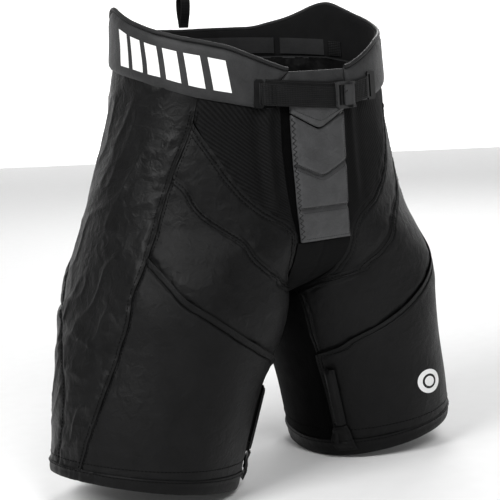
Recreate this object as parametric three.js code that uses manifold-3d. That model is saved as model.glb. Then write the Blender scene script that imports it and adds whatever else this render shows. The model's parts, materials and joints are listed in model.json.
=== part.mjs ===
// Hockey pants: a light over-shell with a padded belt, a strap and buckle, a
// hinged fly, panelled legs with zipped placketed insides, and bound hems.
// Millimetres, +Z up, wearer's front towards -Y, wearer's right towards -X.
import * as THREE from "three";
import Module from "manifold-3d";

const wasm = await Module();
wasm.setup();

// ---------------------------------------------------------------- dimensions
const WIDTH_SCALE = 1;            // of every girth and spread across the wearer
const DEPTH_SCALE = 1;            // of every front-to-back measure
const HEIGHT_SCALE = 1;           // of every height above the hem
const CLOTH = 1.2;                // thickness of the leg cloth with its backing
const SEAM_GAP = 0.2;             // each panel stops this far short of its seam
const HEM_BAND_H = 17;            // turned and stitched hem
const BELT_INNER = 0.5;           // belt padding, from the body surface outwards
const BELT_OUTER = 5;
const LINING_T = 1.2;
const PATCH_T = 0.8;
const BINDING_R = 2.2;
const PIPING_R = 1.2;
const WEBBING_W = 25;
const WEBBING_T = 1.6;
const STRAP_OFF = BELT_OUTER + 2.2; // back face of the fastened strap
const BUCKLE_W = 27;
const BUCKLE_H = 31;
const BUCKLE_T = 3.6;
const FLY_T = 3.6;                // padded fly
const FLY_GROOVE = 1.4;
const FLY_SWING_GAP = 1.7;        // room for the swinging part under the fixed top of the fly
const LOOP_W = 14;                // hang loop at the centre of the back
const LOOP_H = 38;
const ZIP_LOW = 30;               // zipper span, heights on the leg
const ZIP_HIGH = 112;
const ZIP_ANGLE = -36.5;
const REST = 0.35;                // clearance between pieces that touch

// Body surface, station by station up the leg and trunk. Each ring belongs to
// one leg: OUT is its outermost x, IN its innermost (it reaches past the middle
// above the crotch, where both rings grow into the one round waist), FRONT and
// BACK its depths, SQUARE its roundness, TURN its twist in plan. RISE tips the
// hem up at the outside and LEAN lifts the back of the waist.
const HEIGHTS = [0, 90, 180, 200, 225, 260, 300, 330, 420, 500, 580];
const OUT = [280, 266, 242, 237, 230, 222, 211, 203, 178, 169, 166];
const FRONT = [104, 118, 125, 126, 126, 127, 128.5, 129, 126, 125, 123];
const BACK = [108, 116, 130, 133, 137, 142, 145, 144, 128, 120, 120];
const IN = [-80, -54, -14, -10, -4, 60, 190, 203, 178, 169, 166];
const SQUARE = [2.2, 2.25, 2.6, 2.7, 2.6, 2.3, 2.25, 2.2, 2.2, 2.2, 2.2];
const TURN = [0.4, 0.45, 0.15, 0.08, 0, 0, 0, 0, 0, 0, 0];
const RISE = [0.2, 0, 0, 0, 0, 0, 0, 0, 0, 0, 0];
const LEAN = [0, 0, 0, 0, 0, 0, 0.02, 0.05, 0.1, 0.1, 0.1];

// Seams, as [height, angle]: 0 is the middle of the ring's front, 90 its
// outside, 180 its back and -90 its inside.
const SIDE_SEAM = [[0, 104], [53, 103], [87, 100], [120, 93], [157, 81], [221, 64],
  [267, 60], [308, 60], [361, 58], [396, 55], [419, 53], [460, 51]];
const THIGH_SEAM_HIGH = [[267, -11], [290, 8], [322, 25], [350, 34], [381, 42], [419, 53]];
const THIGH_SEAM_MID = [[215, -50], [224, -33], [234, -23], [243, -11], [256, 4],
  [279, 22], [299, 35], [322, 45], [346, 51], [361, 58]];
const THIGH_SEAM_LOW = [[116, -43], [128, -28], [137, -22], [154, -5], [173, 10],
  [190, 20], [207, 29], [241, 46], [267, 60]];
const INSEAM = [[0, -42], [116, -43], [143, -47], [195, -59], [200, -62]];
const GUSSET_FRONT = [[200, -62], [215, -50], [232, -38], [249, -24], [267, -11]];
const GUSSET_BACK_X = [[215, 26], [232, 28], [249, 22], [267, 12], [285, 3], [300, 0.3]];
const REAR_SEAM = 125;
const BACK_INSEAM = 242;
const FREE_EDGE_X = [[267, 38.2], [278, 43], [300, 49], [343, 55], [386, 57], [470, 55]];

// Belt: heights of its edges round the waist, as [angle, height].
const BELT_BOTTOM = [[0, 435], [27, 435], [39, 441], [51, 446], [68, 455], [86, 461],
  [110, 466], [150, 464], [180, 463]];
const BELT_TOP = [[0, 474], [15, 474], [22, 481], [30, 490], [39, 500], [49, 505], [60, 509],
  [74, 515], [90, 523], [100, 530], [107, 535], [115, 531], [130, 513], [147, 500], [180, 498]];
const BELT_END = { right: [26, 15], left: [14, 13.4] };   // angle at bottom and top
const BELT_JOIN = 147;

// Fly edges as [height, x].
const FLY_RIGHT = [[267, -37], [316, -42], [367, -44], [460, -44]];
const FLY_LEFT = [[267, 38], [303, 35], [360, 35], [460, 37]];
const FLY_BOTTOM = 268;
const FLY_V_HIGH = 429.5;
const FLY_V_DEPTH = 20;
const FLY_TOP = 458;
const BAND_LOW = 458.5;
const BAND_HIGH = 474;

const ROWS = [17, 35, 55, 75, 95, 116, 135, 155, 175, 200, 215, 232, 249, 267, 285, 305,
  325, 345, 361, 380, 400, 419];

// ------------------------------------------------------------------- surface
// Value of a table of [key, value] pairs by straight lines.
function along(table, key) {
  let i = 1;
  while (i < table.length - 1 && table[i][0] < key) i += 1;
  const [k0, v0] = table[i - 1];
  const [k1, v1] = table[i];
  const t = Math.min(1, Math.max(0, (key - k0) / (k1 - k0)));
  return v0 + (v1 - v0) * t;
}

// Smooth value at height z of a column of the station table.
function station(column, z) {
  const h = HEIGHTS;
  const n = h.length;
  const slope = (i) => (column[i + 1] - column[i]) / (h[i + 1] - h[i]);
  const tangent = (i) => {
    if (i === 0) return slope(0);
    if (i === n - 1) return slope(n - 2);
    const a = slope(i - 1);
    const b = slope(i);
    if (a * b <= 0) return 0;
    const wa = 2 * (h[i + 1] - h[i]) + (h[i] - h[i - 1]);
    const wb = (h[i + 1] - h[i]) + 2 * (h[i] - h[i - 1]);
    return (wa + wb) / (wa / a + wb / b);
  };
  let i = 0;
  while (i < n - 2 && h[i + 1] < z) i += 1;
  const span = h[i + 1] - h[i];
  const t = (z - h[i]) / span;
  const t2 = t * t;
  const t3 = t2 * t;
  return (2 * t3 - 3 * t2 + 1) * column[i] + (t3 - 2 * t2 + t) * span * tangent(i)
    + (-2 * t3 + 3 * t2) * column[i + 1] + (t3 - t2) * span * tangent(i + 1);
}

function ringAt(z) {
  const out = station(OUT, z) * WIDTH_SCALE;
  const inner = station(IN, z) * WIDTH_SCALE;
  const front = station(FRONT, z) * DEPTH_SCALE;
  const back = station(BACK, z) * DEPTH_SCALE;
  return {
    cx: (inner - out) / 2,
    ax: (out + inner) / 2,
    cy: (back - front) / 2,
    ay: (back + front) / 2,
    square: station(SQUARE, z),
    turn: station(TURN, z),
    rise: station(RISE, z),
    lean: station(LEAN, z),
  };
}

// A point of one half: angle in degrees, height on the leg, distance outwards.
function body(half, angle, z, off = 0) {
  const r = ringAt(z);
  const a = THREE.MathUtils.degToRad(angle);
  const s = Math.sin(a);
  const c = Math.cos(a);
  const k = (Math.abs(s) ** r.square + Math.abs(c) ** r.square) ** (-1 / r.square);
  const lx = -(r.ax + off) * s * k;
  const ly = -(r.ay + off) * c * k;
  const x = r.cx + lx * Math.cos(r.turn) - ly * Math.sin(r.turn);
  const y = r.cy + lx * Math.sin(r.turn) + ly * Math.cos(r.turn);
  const up = z * HEIGHT_SCALE + r.rise * (r.cx - x) + r.lean * (y - r.cy);
  return new THREE.Vector3(half === "left" ? -x : x, y, up);
}

// A point of the front of the trunk by its x instead of its angle.
function frontBody(x, z, off = 0) {
  const r = ringAt(z);
  const reach = station(OUT, z) * WIDTH_SCALE + off;
  const deep = r.ay + off;
  const share = Math.min(0.999, Math.abs(x * WIDTH_SCALE) / reach);
  const y = r.cy - deep * (1 - share ** r.square) ** (1 / r.square);
  return new THREE.Vector3(x * WIDTH_SCALE, y, z * HEIGHT_SCALE + r.lean * (y - r.cy));
}

// Angle at which a half's ring stands at a given distance from the middle.
function angleAt(z, x, low, high) {
  let a = low;
  let b = high;
  const sideOf = (t) => Math.sign(body("right", t, z).x + x * WIDTH_SCALE);
  const first = sideOf(a);
  for (let i = 0; i < 40; i += 1) {
    const mid = (a + b) / 2;
    if (sideOf(mid) === first) a = mid;
    else b = mid;
  }
  return (a + b) / 2;
}

// ------------------------------------------------------------ solid builders
function closedSolid(points, faces) {
  let volume = 0;
  for (const [a, b, c] of faces) {
    volume += points[a].dot(new THREE.Vector3().crossVectors(points[b], points[c]));
  }
  const order = volume < 0 ? faces.map(([a, b, c]) => [a, c, b]) : faces;
  const g = new THREE.BufferGeometry();
  g.setAttribute("position", new THREE.Float32BufferAttribute(points.flatMap((p) => [p.x, p.y, p.z]), 3));
  g.setIndex(order.flat());
  return g;
}

// A thin curved slab: at(u, v, layer) gives its two faces, layer 0 and 1.
function slab(nu, nv, at, round = false) {
  const cols = round ? nu : nu + 1;
  const points = [];
  for (const layer of [0, 1]) {
    for (let j = 0; j <= nv; j += 1) {
      for (let i = 0; i < cols; i += 1) points.push(at(i / nu, j / nv, layer, i, j));
    }
  }
  const id = (i, j, layer) => layer * cols * (nv + 1) + j * cols + (i % cols);
  const faces = [];
  const quad = (a, b, c, d) => faces.push([a, b, c], [a, c, d]);
  for (let j = 0; j < nv; j += 1) {
    for (let i = 0; i < nu; i += 1) {
      quad(id(i, j, 1), id(i + 1, j, 1), id(i + 1, j + 1, 1), id(i, j + 1, 1));
      quad(id(i, j, 0), id(i, j + 1, 0), id(i + 1, j + 1, 0), id(i + 1, j, 0));
    }
  }
  for (let i = 0; i < nu; i += 1) {
    quad(id(i, 0, 0), id(i + 1, 0, 0), id(i + 1, 0, 1), id(i, 0, 1));
    quad(id(i, nv, 0), id(i, nv, 1), id(i + 1, nv, 1), id(i + 1, nv, 0));
  }
  if (!round) {
    for (let j = 0; j < nv; j += 1) {
      quad(id(0, j, 0), id(0, j, 1), id(0, j + 1, 1), id(0, j + 1, 0));
      quad(id(nu, j, 0), id(nu, j + 1, 0), id(nu, j + 1, 1), id(nu, j, 1));
    }
  }
  return closedSolid(points, faces);
}

function rod(points, radius, sides) {
  const ring = new THREE.Shape();
  ring.absarc(0, 0, radius, 0, Math.PI * 2, false);
  return new THREE.ExtrudeGeometry(ring, {
    steps: points.length - 1,
    curveSegments: sides / 2,
    bevelEnabled: false,
    extrudePath: new THREE.CatmullRomCurve3(points),
  });
}

function plate(outline, thick) {
  const shape = new THREE.Shape(outline.map(([x, y]) => new THREE.Vector2(x, y)));
  return new THREE.ExtrudeGeometry(shape, { depth: thick, bevelEnabled: false });
}

const rectangle = (x0, y0, x1, y1) => [[x0, y0], [x1, y0], [x1, y1], [x0, y1]];

function clippedRectangle(w, h, clip) {
  const x = w / 2;
  const y = h / 2;
  return [[-x + clip, -y], [x - clip, -y], [x, -y + clip], [x, y - clip],
    [x - clip, y], [-x + clip, y], [-x, y - clip], [-x, -y + clip]];
}

function toManifold(geometry) {
  const g = geometry.index ? geometry.toNonIndexed() : geometry;
  const p = g.getAttribute("position");
  const seen = new Map();
  const verts = [];
  const tris = [];
  for (let i = 0; i < p.count; i += 1) {
    const key = [p.getX(i), p.getY(i), p.getZ(i)].map((v) => Math.round(v * 1e4)).join();
    if (!seen.has(key)) {
      seen.set(key, verts.length / 3);
      verts.push(p.getX(i), p.getY(i), p.getZ(i));
    }
    tris.push(seen.get(key));
  }
  return new wasm.Manifold(new wasm.Mesh({
    numProp: 3,
    vertProperties: new Float32Array(verts),
    triVerts: new Uint32Array(tris),
  }));
}

function fromManifold(solid) {
  const mesh = solid.getMesh();
  const g = new THREE.BufferGeometry();
  g.setAttribute("position", new THREE.BufferAttribute(new Float32Array(mesh.vertProperties), 3));
  g.setIndex(Array.from(mesh.triVerts));
  return g;
}

// A plate with windows cut through it.
function windowPlate(outline, windows, thick) {
  let solid = toManifold(plate(outline, thick));
  for (const window of windows) {
    solid = solid.subtract(toManifold(plate(window, thick + 2).translate(0, 0, -1)));
  }
  return solid;
}

// ----------------------------------------------------------------- materials
const FINISHES = {
  shell_nylon: [0x17181a, 0.42, 0],
  stretch_knit: [0x101113, 0.8, 0],
  belt_nylon: [0x222325, 0.6, 0],
  lining_cloth: [0x1a1b1d, 0.9, 0],
  webbing: [0x1d1d1f, 0.75, 0],
  moulded_plastic: [0x242527, 0.4, 0],
  fly_cloth: [0x303133, 0.6, 0],
  zipper_plastic: [0x1b1b1d, 0.45, 0],
};

const group = new THREE.Group();
group.name = "hockey_pants";

function add(name, geometry, finish, parent = group) {
  const [color, roughness, metalness] = FINISHES[finish];
  const material = new THREE.MeshStandardMaterial({ color, roughness, metalness });
  material.name = finish;
  const mesh = new THREE.Mesh(geometry, material);
  mesh.name = name;
  parent.add(mesh);
  return mesh;
}

// ---------------------------------------------------------------- leg panels
// One panel between two seams, from height low to height high.
function panel(half, low, high, inner, outer, columns, top = null) {
  const rows = [low + SEAM_GAP, ...ROWS.filter((z) => z > low + 2 && z < high - 2), high - SEAM_GAP];
  return slab(columns, rows.length - 1, (u, v, layer, i, j) => {
    const z = rows[j];
    const reach = ringAt(z);
    const trim = THREE.MathUtils.radToDeg(SEAM_GAP / Math.min(reach.ax, reach.ay));
    const middle = (inner(z) + outer(z)) / 2;
    const reachOut = Math.max((outer(z) - inner(z)) / 2 - trim, 0.05);
    const a = middle + reachOut * (2 * u - 1);
    const edge = top && j === rows.length - 1 ? top(a) : z;
    return body(half, a, edge, layer ? CLOTH : 0);
  });
}

const seatEdge = (z) => {
  if (z <= 200) return BACK_INSEAM;
  if (z < 215) return BACK_INSEAM + (angleAt(215, 26, 90, 270) - BACK_INSEAM) * ((z - 200) / 15);
  return angleAt(z, along(GUSSET_BACK_X, z), 90, 270);
};

const sideSeam = (z) => along(SIDE_SEAM, z);
const frontEdge = (half, z) => Math.min(
  angleAt(z, half === "right" ? along(FREE_EDGE_X, z) : along(FLY_LEFT, z) + 0.45, -60, 60),
  along(THIGH_SEAM_HIGH, z));

const beltEnd = (half, z) => along(
  [[435, BELT_END[half][0]], [474, BELT_END[half][1]]], z);

// Top of the leg cloth: the belt's lower edge, and in front of it its slanted end.
function clothTop(half, a) {
  const [low] = BELT_END[half];
  if (a > low + 1) return along(BELT_BOTTOM, a) - 0.5;
  return Math.min(FLY_TOP - 4, 434.5 + Math.max(0, low - a - 6) * 3.5);
}

for (const half of ["right", "left"]) {
  const top = (a) => clothTop(half, a);
  add(`stretch_panel_${half}`, panel(half, 267, 440, (z) => frontEdge(half, z),
    (z) => (z > 419 ? sideSeam(z) : along(THIGH_SEAM_HIGH, z)), 6, top), "stretch_knit");
  add(`upper_front_panel_${half}`, panel(half, 215, 419,
    (z) => (z > 267 ? along(THIGH_SEAM_HIGH, z) : along(GUSSET_FRONT, z)),
    (z) => (z > 361 ? sideSeam(z) : along(THIGH_SEAM_MID, z)), 4), "shell_nylon");
  add(`middle_front_panel_${half}`, panel(half, 116, 361,
    (z) => {
      if (z > 215) return along(THIGH_SEAM_MID, z);
      return z > 200 ? along(GUSSET_FRONT, z) : along(INSEAM, z);
    },
    (z) => (z > 267 ? sideSeam(z) : along(THIGH_SEAM_LOW, z)), 5), "shell_nylon");
  add(`lower_front_panel_${half}`, panel(half, HEM_BAND_H, 267,
    (z) => (z > 116 ? along(THIGH_SEAM_LOW, z) : along(INSEAM, z)),
    sideSeam, 14), "shell_nylon");
  add(`side_panel_${half}`, panel(half, HEM_BAND_H, 440, sideSeam, () => REAR_SEAM, 5, top),
    "shell_nylon");
  add(`seat_panel_${half}`, panel(half, 200, 440, () => REAR_SEAM, seatEdge, 7, top),
    "shell_nylon");
  add(`rear_leg_panel_${half}`, panel(half, HEM_BAND_H, 200, () => REAR_SEAM,
    () => BACK_INSEAM, 11), "shell_nylon");
  add(`inner_thigh_panel_${half}`, panel(half, HEM_BAND_H, 200, () => BACK_INSEAM - 360,
    (z) => along(INSEAM, z), 8), "stretch_knit");
  add(`hem_band_${half}`, slab(40, 1, (u, v, layer) => body(half, u * 360,
    v * (HEM_BAND_H - SEAM_GAP), layer ? CLOTH + 0.5 : 0), true), "shell_nylon");
  const seamHeights = [20, ...ROWS.slice(1), 438];
  add(`side_piping_${half}`, rod(seamHeights.map((z) => body(half, sideSeam(z), z,
    CLOTH + REST + PIPING_R)), PIPING_R, 6), "belt_nylon");
}

// -------------------------------------------------------------- crotch gusset
// A saddle between the legs: down the front, under, and up the back.
const gussetEdge = (() => {
  const front = [267, 249, 232, 215, 200].map((z) => [along(GUSSET_FRONT, z), z]);
  const under = [-80, -99].map((a) => [a, 200]);
  const back = [200, 215, 232, 249, 267, 285].map((z) => [seatEdge(z), z]);
  return [...front, ...under, ...back];
})();
add("crotch_gusset", slab(4, gussetEdge.length - 1, (u, v, layer, i, j) => {
  const [a, z] = gussetEdge[j];
  const first = j === 0 ? 0.4 : 0;
  const under = z === 200;
  const edge = body("right", a, z - first, layer && !under ? CLOTH : 0);
  const across = -1 + 2 * u;
  const pinch = Math.max(-edge.x - (under ? 0.4 : 0.8), 0.6);
  const sag = 0.1 * pinch * (1 - across * across) * (z < 240 ? 1 : 0.3);
  const raise = under ? REST + (layer ? 0 : CLOTH) : 0;
  return new THREE.Vector3(pinch * across, edge.y, edge.z - sag + raise);
}), "stretch_knit");

// ----------------------------------------------------------------------- belt
function beltPatch(half, from, to, columns, rows, inner, outer, lift, drop) {
  return slab(columns, rows, (u, v, layer) => {
    const probe = along(BELT_BOTTOM, 20) + v * 39;
    const start = typeof from === "function" ? from(probe) : from;
    const a = start + (to - start) * u;
    const low = along(BELT_BOTTOM, a) + lift;
    const high = along(BELT_TOP, a) - drop;
    return body(half, a, low + (high - low) * v, layer ? outer : inner);
  });
}

// Across the back: angles run from the right join round to the left join.
function backPatch(reach, columns, rows, inner, outer, lowOf, highOf) {
  return slab(columns, rows, (u, v, layer) => {
    const turn = -reach + 2 * reach * u;
    const a = 180 - Math.abs(turn);
    const low = lowOf(a);
    const high = highOf(a);
    return body(turn < 0 ? "right" : "left", a, low + (high - low) * v, layer ? outer : inner);
  });
}

const joinReach = 180 - BELT_JOIN;
for (const half of ["right", "left"]) {
  const end = (z) => beltEnd(half, z);
  add(`belt_${half}`, beltPatch(half, end, BELT_JOIN - 0.15, 22, 2, BELT_INNER, BELT_OUTER, 0, 0),
    "belt_nylon");
  add(`belt_lining_${half}`, beltPatch(half, end, BELT_JOIN - 0.15, 22, 2,
    BELT_INNER - REST - LINING_T, BELT_INNER - REST, 4, 2), "lining_cloth");
  add(`lining_patch_${half}`, slab(4, 1, (u, v, layer) => body(half, 110 + 24 * u, 471 + 20 * v,
    BELT_INNER - 2 * REST - LINING_T - (layer ? 0 : PATCH_T))), "belt_nylon");
  add(`inner_keeper_${half}`, slab(2, 1, (u, v, layer) => body(half, 98 + 9 * u, 471 + 18 * v,
    BELT_INNER - 2 * REST - LINING_T - (layer ? 0 : 1.4))), "webbing");
}
add("belt_back", backPatch(joinReach - 0.15, 12, 1, BELT_INNER, BELT_OUTER,
  (a) => along(BELT_BOTTOM, a), (a) => along(BELT_TOP, a)), "belt_nylon");
add("belt_lining_back", backPatch(joinReach - 0.15, 12, 1, BELT_INNER - REST - LINING_T,
  BELT_INNER - REST, (a) => along(BELT_BOTTOM, a) + 4, (a) => along(BELT_TOP, a) - 2), "lining_cloth");
add("lining_patch_back", backPatch(joinReach + 10, 16, 1,
  BELT_INNER - 2 * REST - LINING_T - PATCH_T, BELT_INNER - 2 * REST - LINING_T,
  () => 471, () => 491), "belt_nylon");

const bindingPath = [];
for (const half of ["right", "left"]) {
  const from = BELT_END[half][1];
  const angles = [...BELT_TOP.map(([a]) => a).filter((a) => a > from + 2 && a < 180),
    55, 67, 82, 123, 138, 158, 169].sort((a, b) => a - b);
  const run = [from, ...angles].map((a) => body(half, a,
    along(BELT_TOP, a) + (BINDING_R + 2.6 * REST * WIDTH_SCALE ** 3) / HEIGHT_SCALE,
    (BELT_INNER + BELT_OUTER) / 2));
  if (half === "left") run.reverse();
  bindingPath.push(...run);
  if (half === "right") {
    bindingPath.push(body(half, 180, along(BELT_TOP, 180) + (BINDING_R + 2 * REST) / HEIGHT_SCALE,
      (BELT_INNER + BELT_OUTER) / 2));
  }
}
add("belt_binding", rod(bindingPath, BINDING_R, 6), "belt_nylon");

// ------------------------------------------------------------------------ fly
add("front_band", slab(8, 1, (u, v, layer) => {
  const z = BAND_LOW + (BAND_HIGH - BAND_LOW) * v;
  const right = body("right", beltEnd("right", z) - 0.3, z).x / WIDTH_SCALE;
  const left = body("left", beltEnd("left", z) - 0.3, z).x / WIDTH_SCALE;
  return frontBody(right + (left - right) * u, z, layer ? 3 : 0.6);
}), "belt_nylon");

// Padded pieces with V-shaped top edges; rows are [height, V depth, thickness].
function flyPiece(rows) {
  return slab(6, rows.length - 1, (u, v, layer, i, j) => {
    const [edge, deep, thick] = rows[j];
    const across = -1 + 2 * u;
    const z = edge - deep * (1 - Math.abs(across));
    const right = along(FLY_RIGHT, z) + 0.2;
    const left = along(FLY_LEFT, z) - 0.2;
    return frontBody(right + (left - right) * u, z, 0.6 + (layer ? thick : 0));
  });
}

const dip = FLY_T - FLY_GROOVE;
add("fly_top_panel", flyPiece([[FLY_V_HIGH + REST, FLY_V_DEPTH, FLY_T], [440, 10, FLY_T],
  [FLY_TOP, 0, FLY_T]]), "fly_cloth");
add("fly_flap", flyPiece([[FLY_BOTTOM, 0, FLY_T], [304, 0, FLY_T], [308, 0, dip],
  [312, 0, FLY_T], [340, 12, FLY_T], [364, 19, FLY_T], [368, 19, dip], [372, 19, FLY_T],
  [400, 20, FLY_T], [FLY_V_HIGH - FLY_SWING_GAP, FLY_V_DEPTH, FLY_T]]), "fly_cloth");
add("fly_hook_strip", slab(2, 3, (u, v, layer) => frontBody(-38 + 16 * u, 300 + 104 * v,
  layer ? 0.6 - REST : -0.2)), "zipper_plastic");
add("fly_loop_strip", slab(2, 3, (u, v, layer) => frontBody(-40 + 20 * u, 296 + 112 * v,
  layer ? -0.2 - REST : -1.2)), "lining_cloth");
add("fly_underlap", slab(6, 6, (u, v, layer) => {
  const z = 272 + 182 * v;
  const right = Math.max(-62, along(FLY_RIGHT, z) - 16) + (z < 300 ? 8 : 0);
  return frontBody(right + (along(FLY_LEFT, z) - 4 - right) * u, z,
    -1.2 - REST - (layer ? 0 : CLOTH));
}), "lining_cloth");

// ----------------------------------------------------------- strap and buckle
// Middle height of the strap along x.
const STRAP_LINE = [[-95, 451], [-79, 451], [18, 443], [48, 447], [98, 453]];

function ribbon(x0, x1, columns, off, thick, width, lift = 0) {
  return slab(columns, 1, (u, v, layer) => {
    const x = x0 + (x1 - x0) * u;
    const z = along(STRAP_LINE, x) + lift + (v - 0.5) * width / HEIGHT_SCALE;
    return frontBody(x, z, off + (layer ? thick : 0));
  });
}

// A flat frame standing on the front of the trunk, local z outwards.
function frontFrame(x, off) {
  const z = along(STRAP_LINE, x);
  const origin = frontBody(x, z, off);
  const across = frontBody(x + 1, z, off).sub(frontBody(x - 1, z, off)).normalize();
  const up = frontBody(x, z + 1, off).sub(frontBody(x, z - 1, off)).normalize();
  const outward = new THREE.Vector3().crossVectors(across, up).normalize();
  const trueUp = new THREE.Vector3().crossVectors(outward, across);
  const holder = new THREE.Group();
  holder.position.copy(origin);
  holder.quaternion.setFromRotationMatrix(new THREE.Matrix4().makeBasis(across, trueUp, outward));
  group.add(holder);
  return holder;
}

const SLOT_RIGHT_X = -84;
const SLOT_LEFT_X = 88;
const BUCKLE_X = 32;
const slotOutline = (w, h, slotX) => fromManifold(windowPlate(clippedRectangle(w, h, 2),
  [rectangle(slotX - 1.9, -h / 2 + 3.2, slotX + 1.9, h / 2 - 3.2)], 2));
add("slot_frame_right", slotOutline(11, WEBBING_W + 7, 2), "moulded_plastic",
  frontFrame(SLOT_RIGHT_X, BELT_OUTER + REST + 0.2));
add("slot_frame_left", slotOutline(19, WEBBING_W + 8, -4.5), "moulded_plastic",
  frontFrame(SLOT_LEFT_X, BELT_OUTER + REST + 0.2));
// Ends of the webbing stay at true distances from the buckle and the slot frames.
const beside = (x, distance) => x + distance / WIDTH_SCALE;
add("strap_long", ribbon(beside(SLOT_RIGHT_X, 6), beside(BUCKLE_X, -BUCKLE_W / 2 - 0.4), 14,
  STRAP_OFF, WEBBING_T, WEBBING_W), "webbing");
add("strap_return", ribbon(beside(SLOT_RIGHT_X, 13), beside(BUCKLE_X, -BUCKLE_W / 2 + 1), 12,
  BELT_OUTER + REST + 0.1, 1.3, WEBBING_W, 4), "webbing");
add("strap_short", ribbon(beside(BUCKLE_X, BUCKLE_W / 2 + 0.4), beside(SLOT_LEFT_X, -10), 5,
  STRAP_OFF, WEBBING_T, WEBBING_W), "webbing");

const buckleSeat = frontFrame(BUCKLE_X, STRAP_OFF + 0.2);
const half = BUCKLE_W / 2;
const tall = BUCKLE_H / 2;
const lugX = half - 3.4;
const pinZ = BUCKLE_T + 2.4;
const rodAlongY = (radius, length, x, z) => new THREE.CylinderGeometry(radius, radius, length, 16)
  .translate(x, 0, z);
const boxAt = (w, h, d, x, y, z) => new THREE.BoxGeometry(w, h, d).translate(x, y, z);
const bore = toManifold(rodAlongY(1.3, BUCKLE_H + 10, lugX, pinZ));
let frame = windowPlate(clippedRectangle(BUCKLE_W, BUCKLE_H, 2.5),
  [rectangle(-half + 3, -tall + 4, -half + 6.5, tall - 4),
    rectangle(-half + 9.5, -tall + 4, -half + 13.4, tall - 4)], BUCKLE_T);
for (const end of [-1, 1]) {
  frame = frame.add(toManifold(boxAt(5, 3, 5, lugX, end * (tall - 2), BUCKLE_T + 2.1)));
}
add("buckle_frame", fromManifold(frame.subtract(bore)), "moulded_plastic", buckleSeat);
const leverLength = 14;
const leverBody = toManifold(boxAt(leverLength, BUCKLE_H - 8, 2.2, lugX - leverLength / 2, 0, pinZ + 0.2))
  .add(toManifold(rodAlongY(2, BUCKLE_H - 8, lugX, pinZ))).subtract(bore);
add("buckle_lever", fromManifold(leverBody), "moulded_plastic", buckleSeat);
add("buckle_pin", rodAlongY(1, BUCKLE_H - 1, lugX, pinZ), "moulded_plastic", buckleSeat);

// ------------------------------------------------------------------ hang loop
const loopSeat = body("right", 180,
  along(BELT_TOP, 180) + (2 * BINDING_R + 3 * REST + 2) / HEIGHT_SCALE,
  (BELT_INNER + BELT_OUTER) / 2);
const teardrop = (grow) => {
  const points = [];
  for (let i = 0; i <= 12; i += 1) {
    const t = Math.PI * (i / 12);
    points.push([(4.4 + grow) * Math.cos(t), LOOP_H - 7 + (4.4 + grow) * Math.sin(t)]);
  }
  return points;
};
const loopOuter = [...teardrop(1.6), [-4.6, 12], [-2, 2], [-1.4, -1.4], [0, -2], [1.4, -1.4],
  [2, 2], [4.6, 12]];
const loopInner = [...teardrop(0), [-3.1, 12], [-0.9, 6], [0.9, 6], [3.1, 12]];
const loopMesh = add("hang_loop", fromManifold(windowPlate(loopOuter, [loopInner], LOOP_W)), "webbing");
loopMesh.quaternion.setFromRotationMatrix(new THREE.Matrix4().makeBasis(
  new THREE.Vector3(0, 1, 0), new THREE.Vector3(0, 0, 1), new THREE.Vector3(1, 0, 0)));
loopMesh.position.set(-LOOP_W / 2, loopSeat.y, loopSeat.z);

// ---------------------------------------------------------------- leg zippers
// A straight local frame on the inside of the leg: x across, y outwards, z up.
function zipFrame(half) {
  const foot = body(half, ZIP_ANGLE, ZIP_LOW, CLOTH);
  const head = body(half, ZIP_ANGLE, ZIP_HIGH, CLOTH);
  const up = head.clone().sub(foot).normalize();
  const side = body(half, ZIP_ANGLE + 4, ZIP_LOW, CLOTH).sub(body(half, ZIP_ANGLE - 4, ZIP_LOW, CLOTH));
  const across = side.normalize().multiplyScalar(half === "right" ? 1 : -1);
  const outward = new THREE.Vector3().crossVectors(up, across).normalize();
  const sideways = new THREE.Vector3().crossVectors(outward, up);
  let lift = 0;
  for (let z = ZIP_LOW; z <= ZIP_HIGH; z += 2) {
    for (let a = -4; a <= 4; a += 1) {
      lift = Math.max(lift, body(half, ZIP_ANGLE + a, z, CLOTH).sub(foot).dot(outward));
    }
  }
  const holder = new THREE.Group();
  holder.position.copy(foot).addScaledVector(outward, lift + REST);
  holder.quaternion.setFromRotationMatrix(new THREE.Matrix4().makeBasis(sideways, outward, up));
  group.add(holder);
  return holder;
}

const ZIP_LENGTH = ZIP_HIGH - ZIP_LOW;
const TOOTH_PITCH = 5;
const TAB_TOP = 6;                // the hem tab ends here and the placket flap begins
function toothedRack() {
  const count = Math.floor((ZIP_LENGTH - 6) / TOOTH_PITCH);
  const right = [];
  const left = [];
  for (let i = 0; i < count; i += 1) {
    const z = 3 + i * TOOTH_PITCH;
    right.push([1.3, z], [2.4, z + 0.8], [2.4, z + 2.6], [1.3, z + 3.4]);
    left.push([-1.3, z], [-2.4, z + 0.8], [-2.4, z + 2.6], [-1.3, z + 3.4]);
  }
  return plate([...right, ...left.reverse()], 1.2);
}

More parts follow.
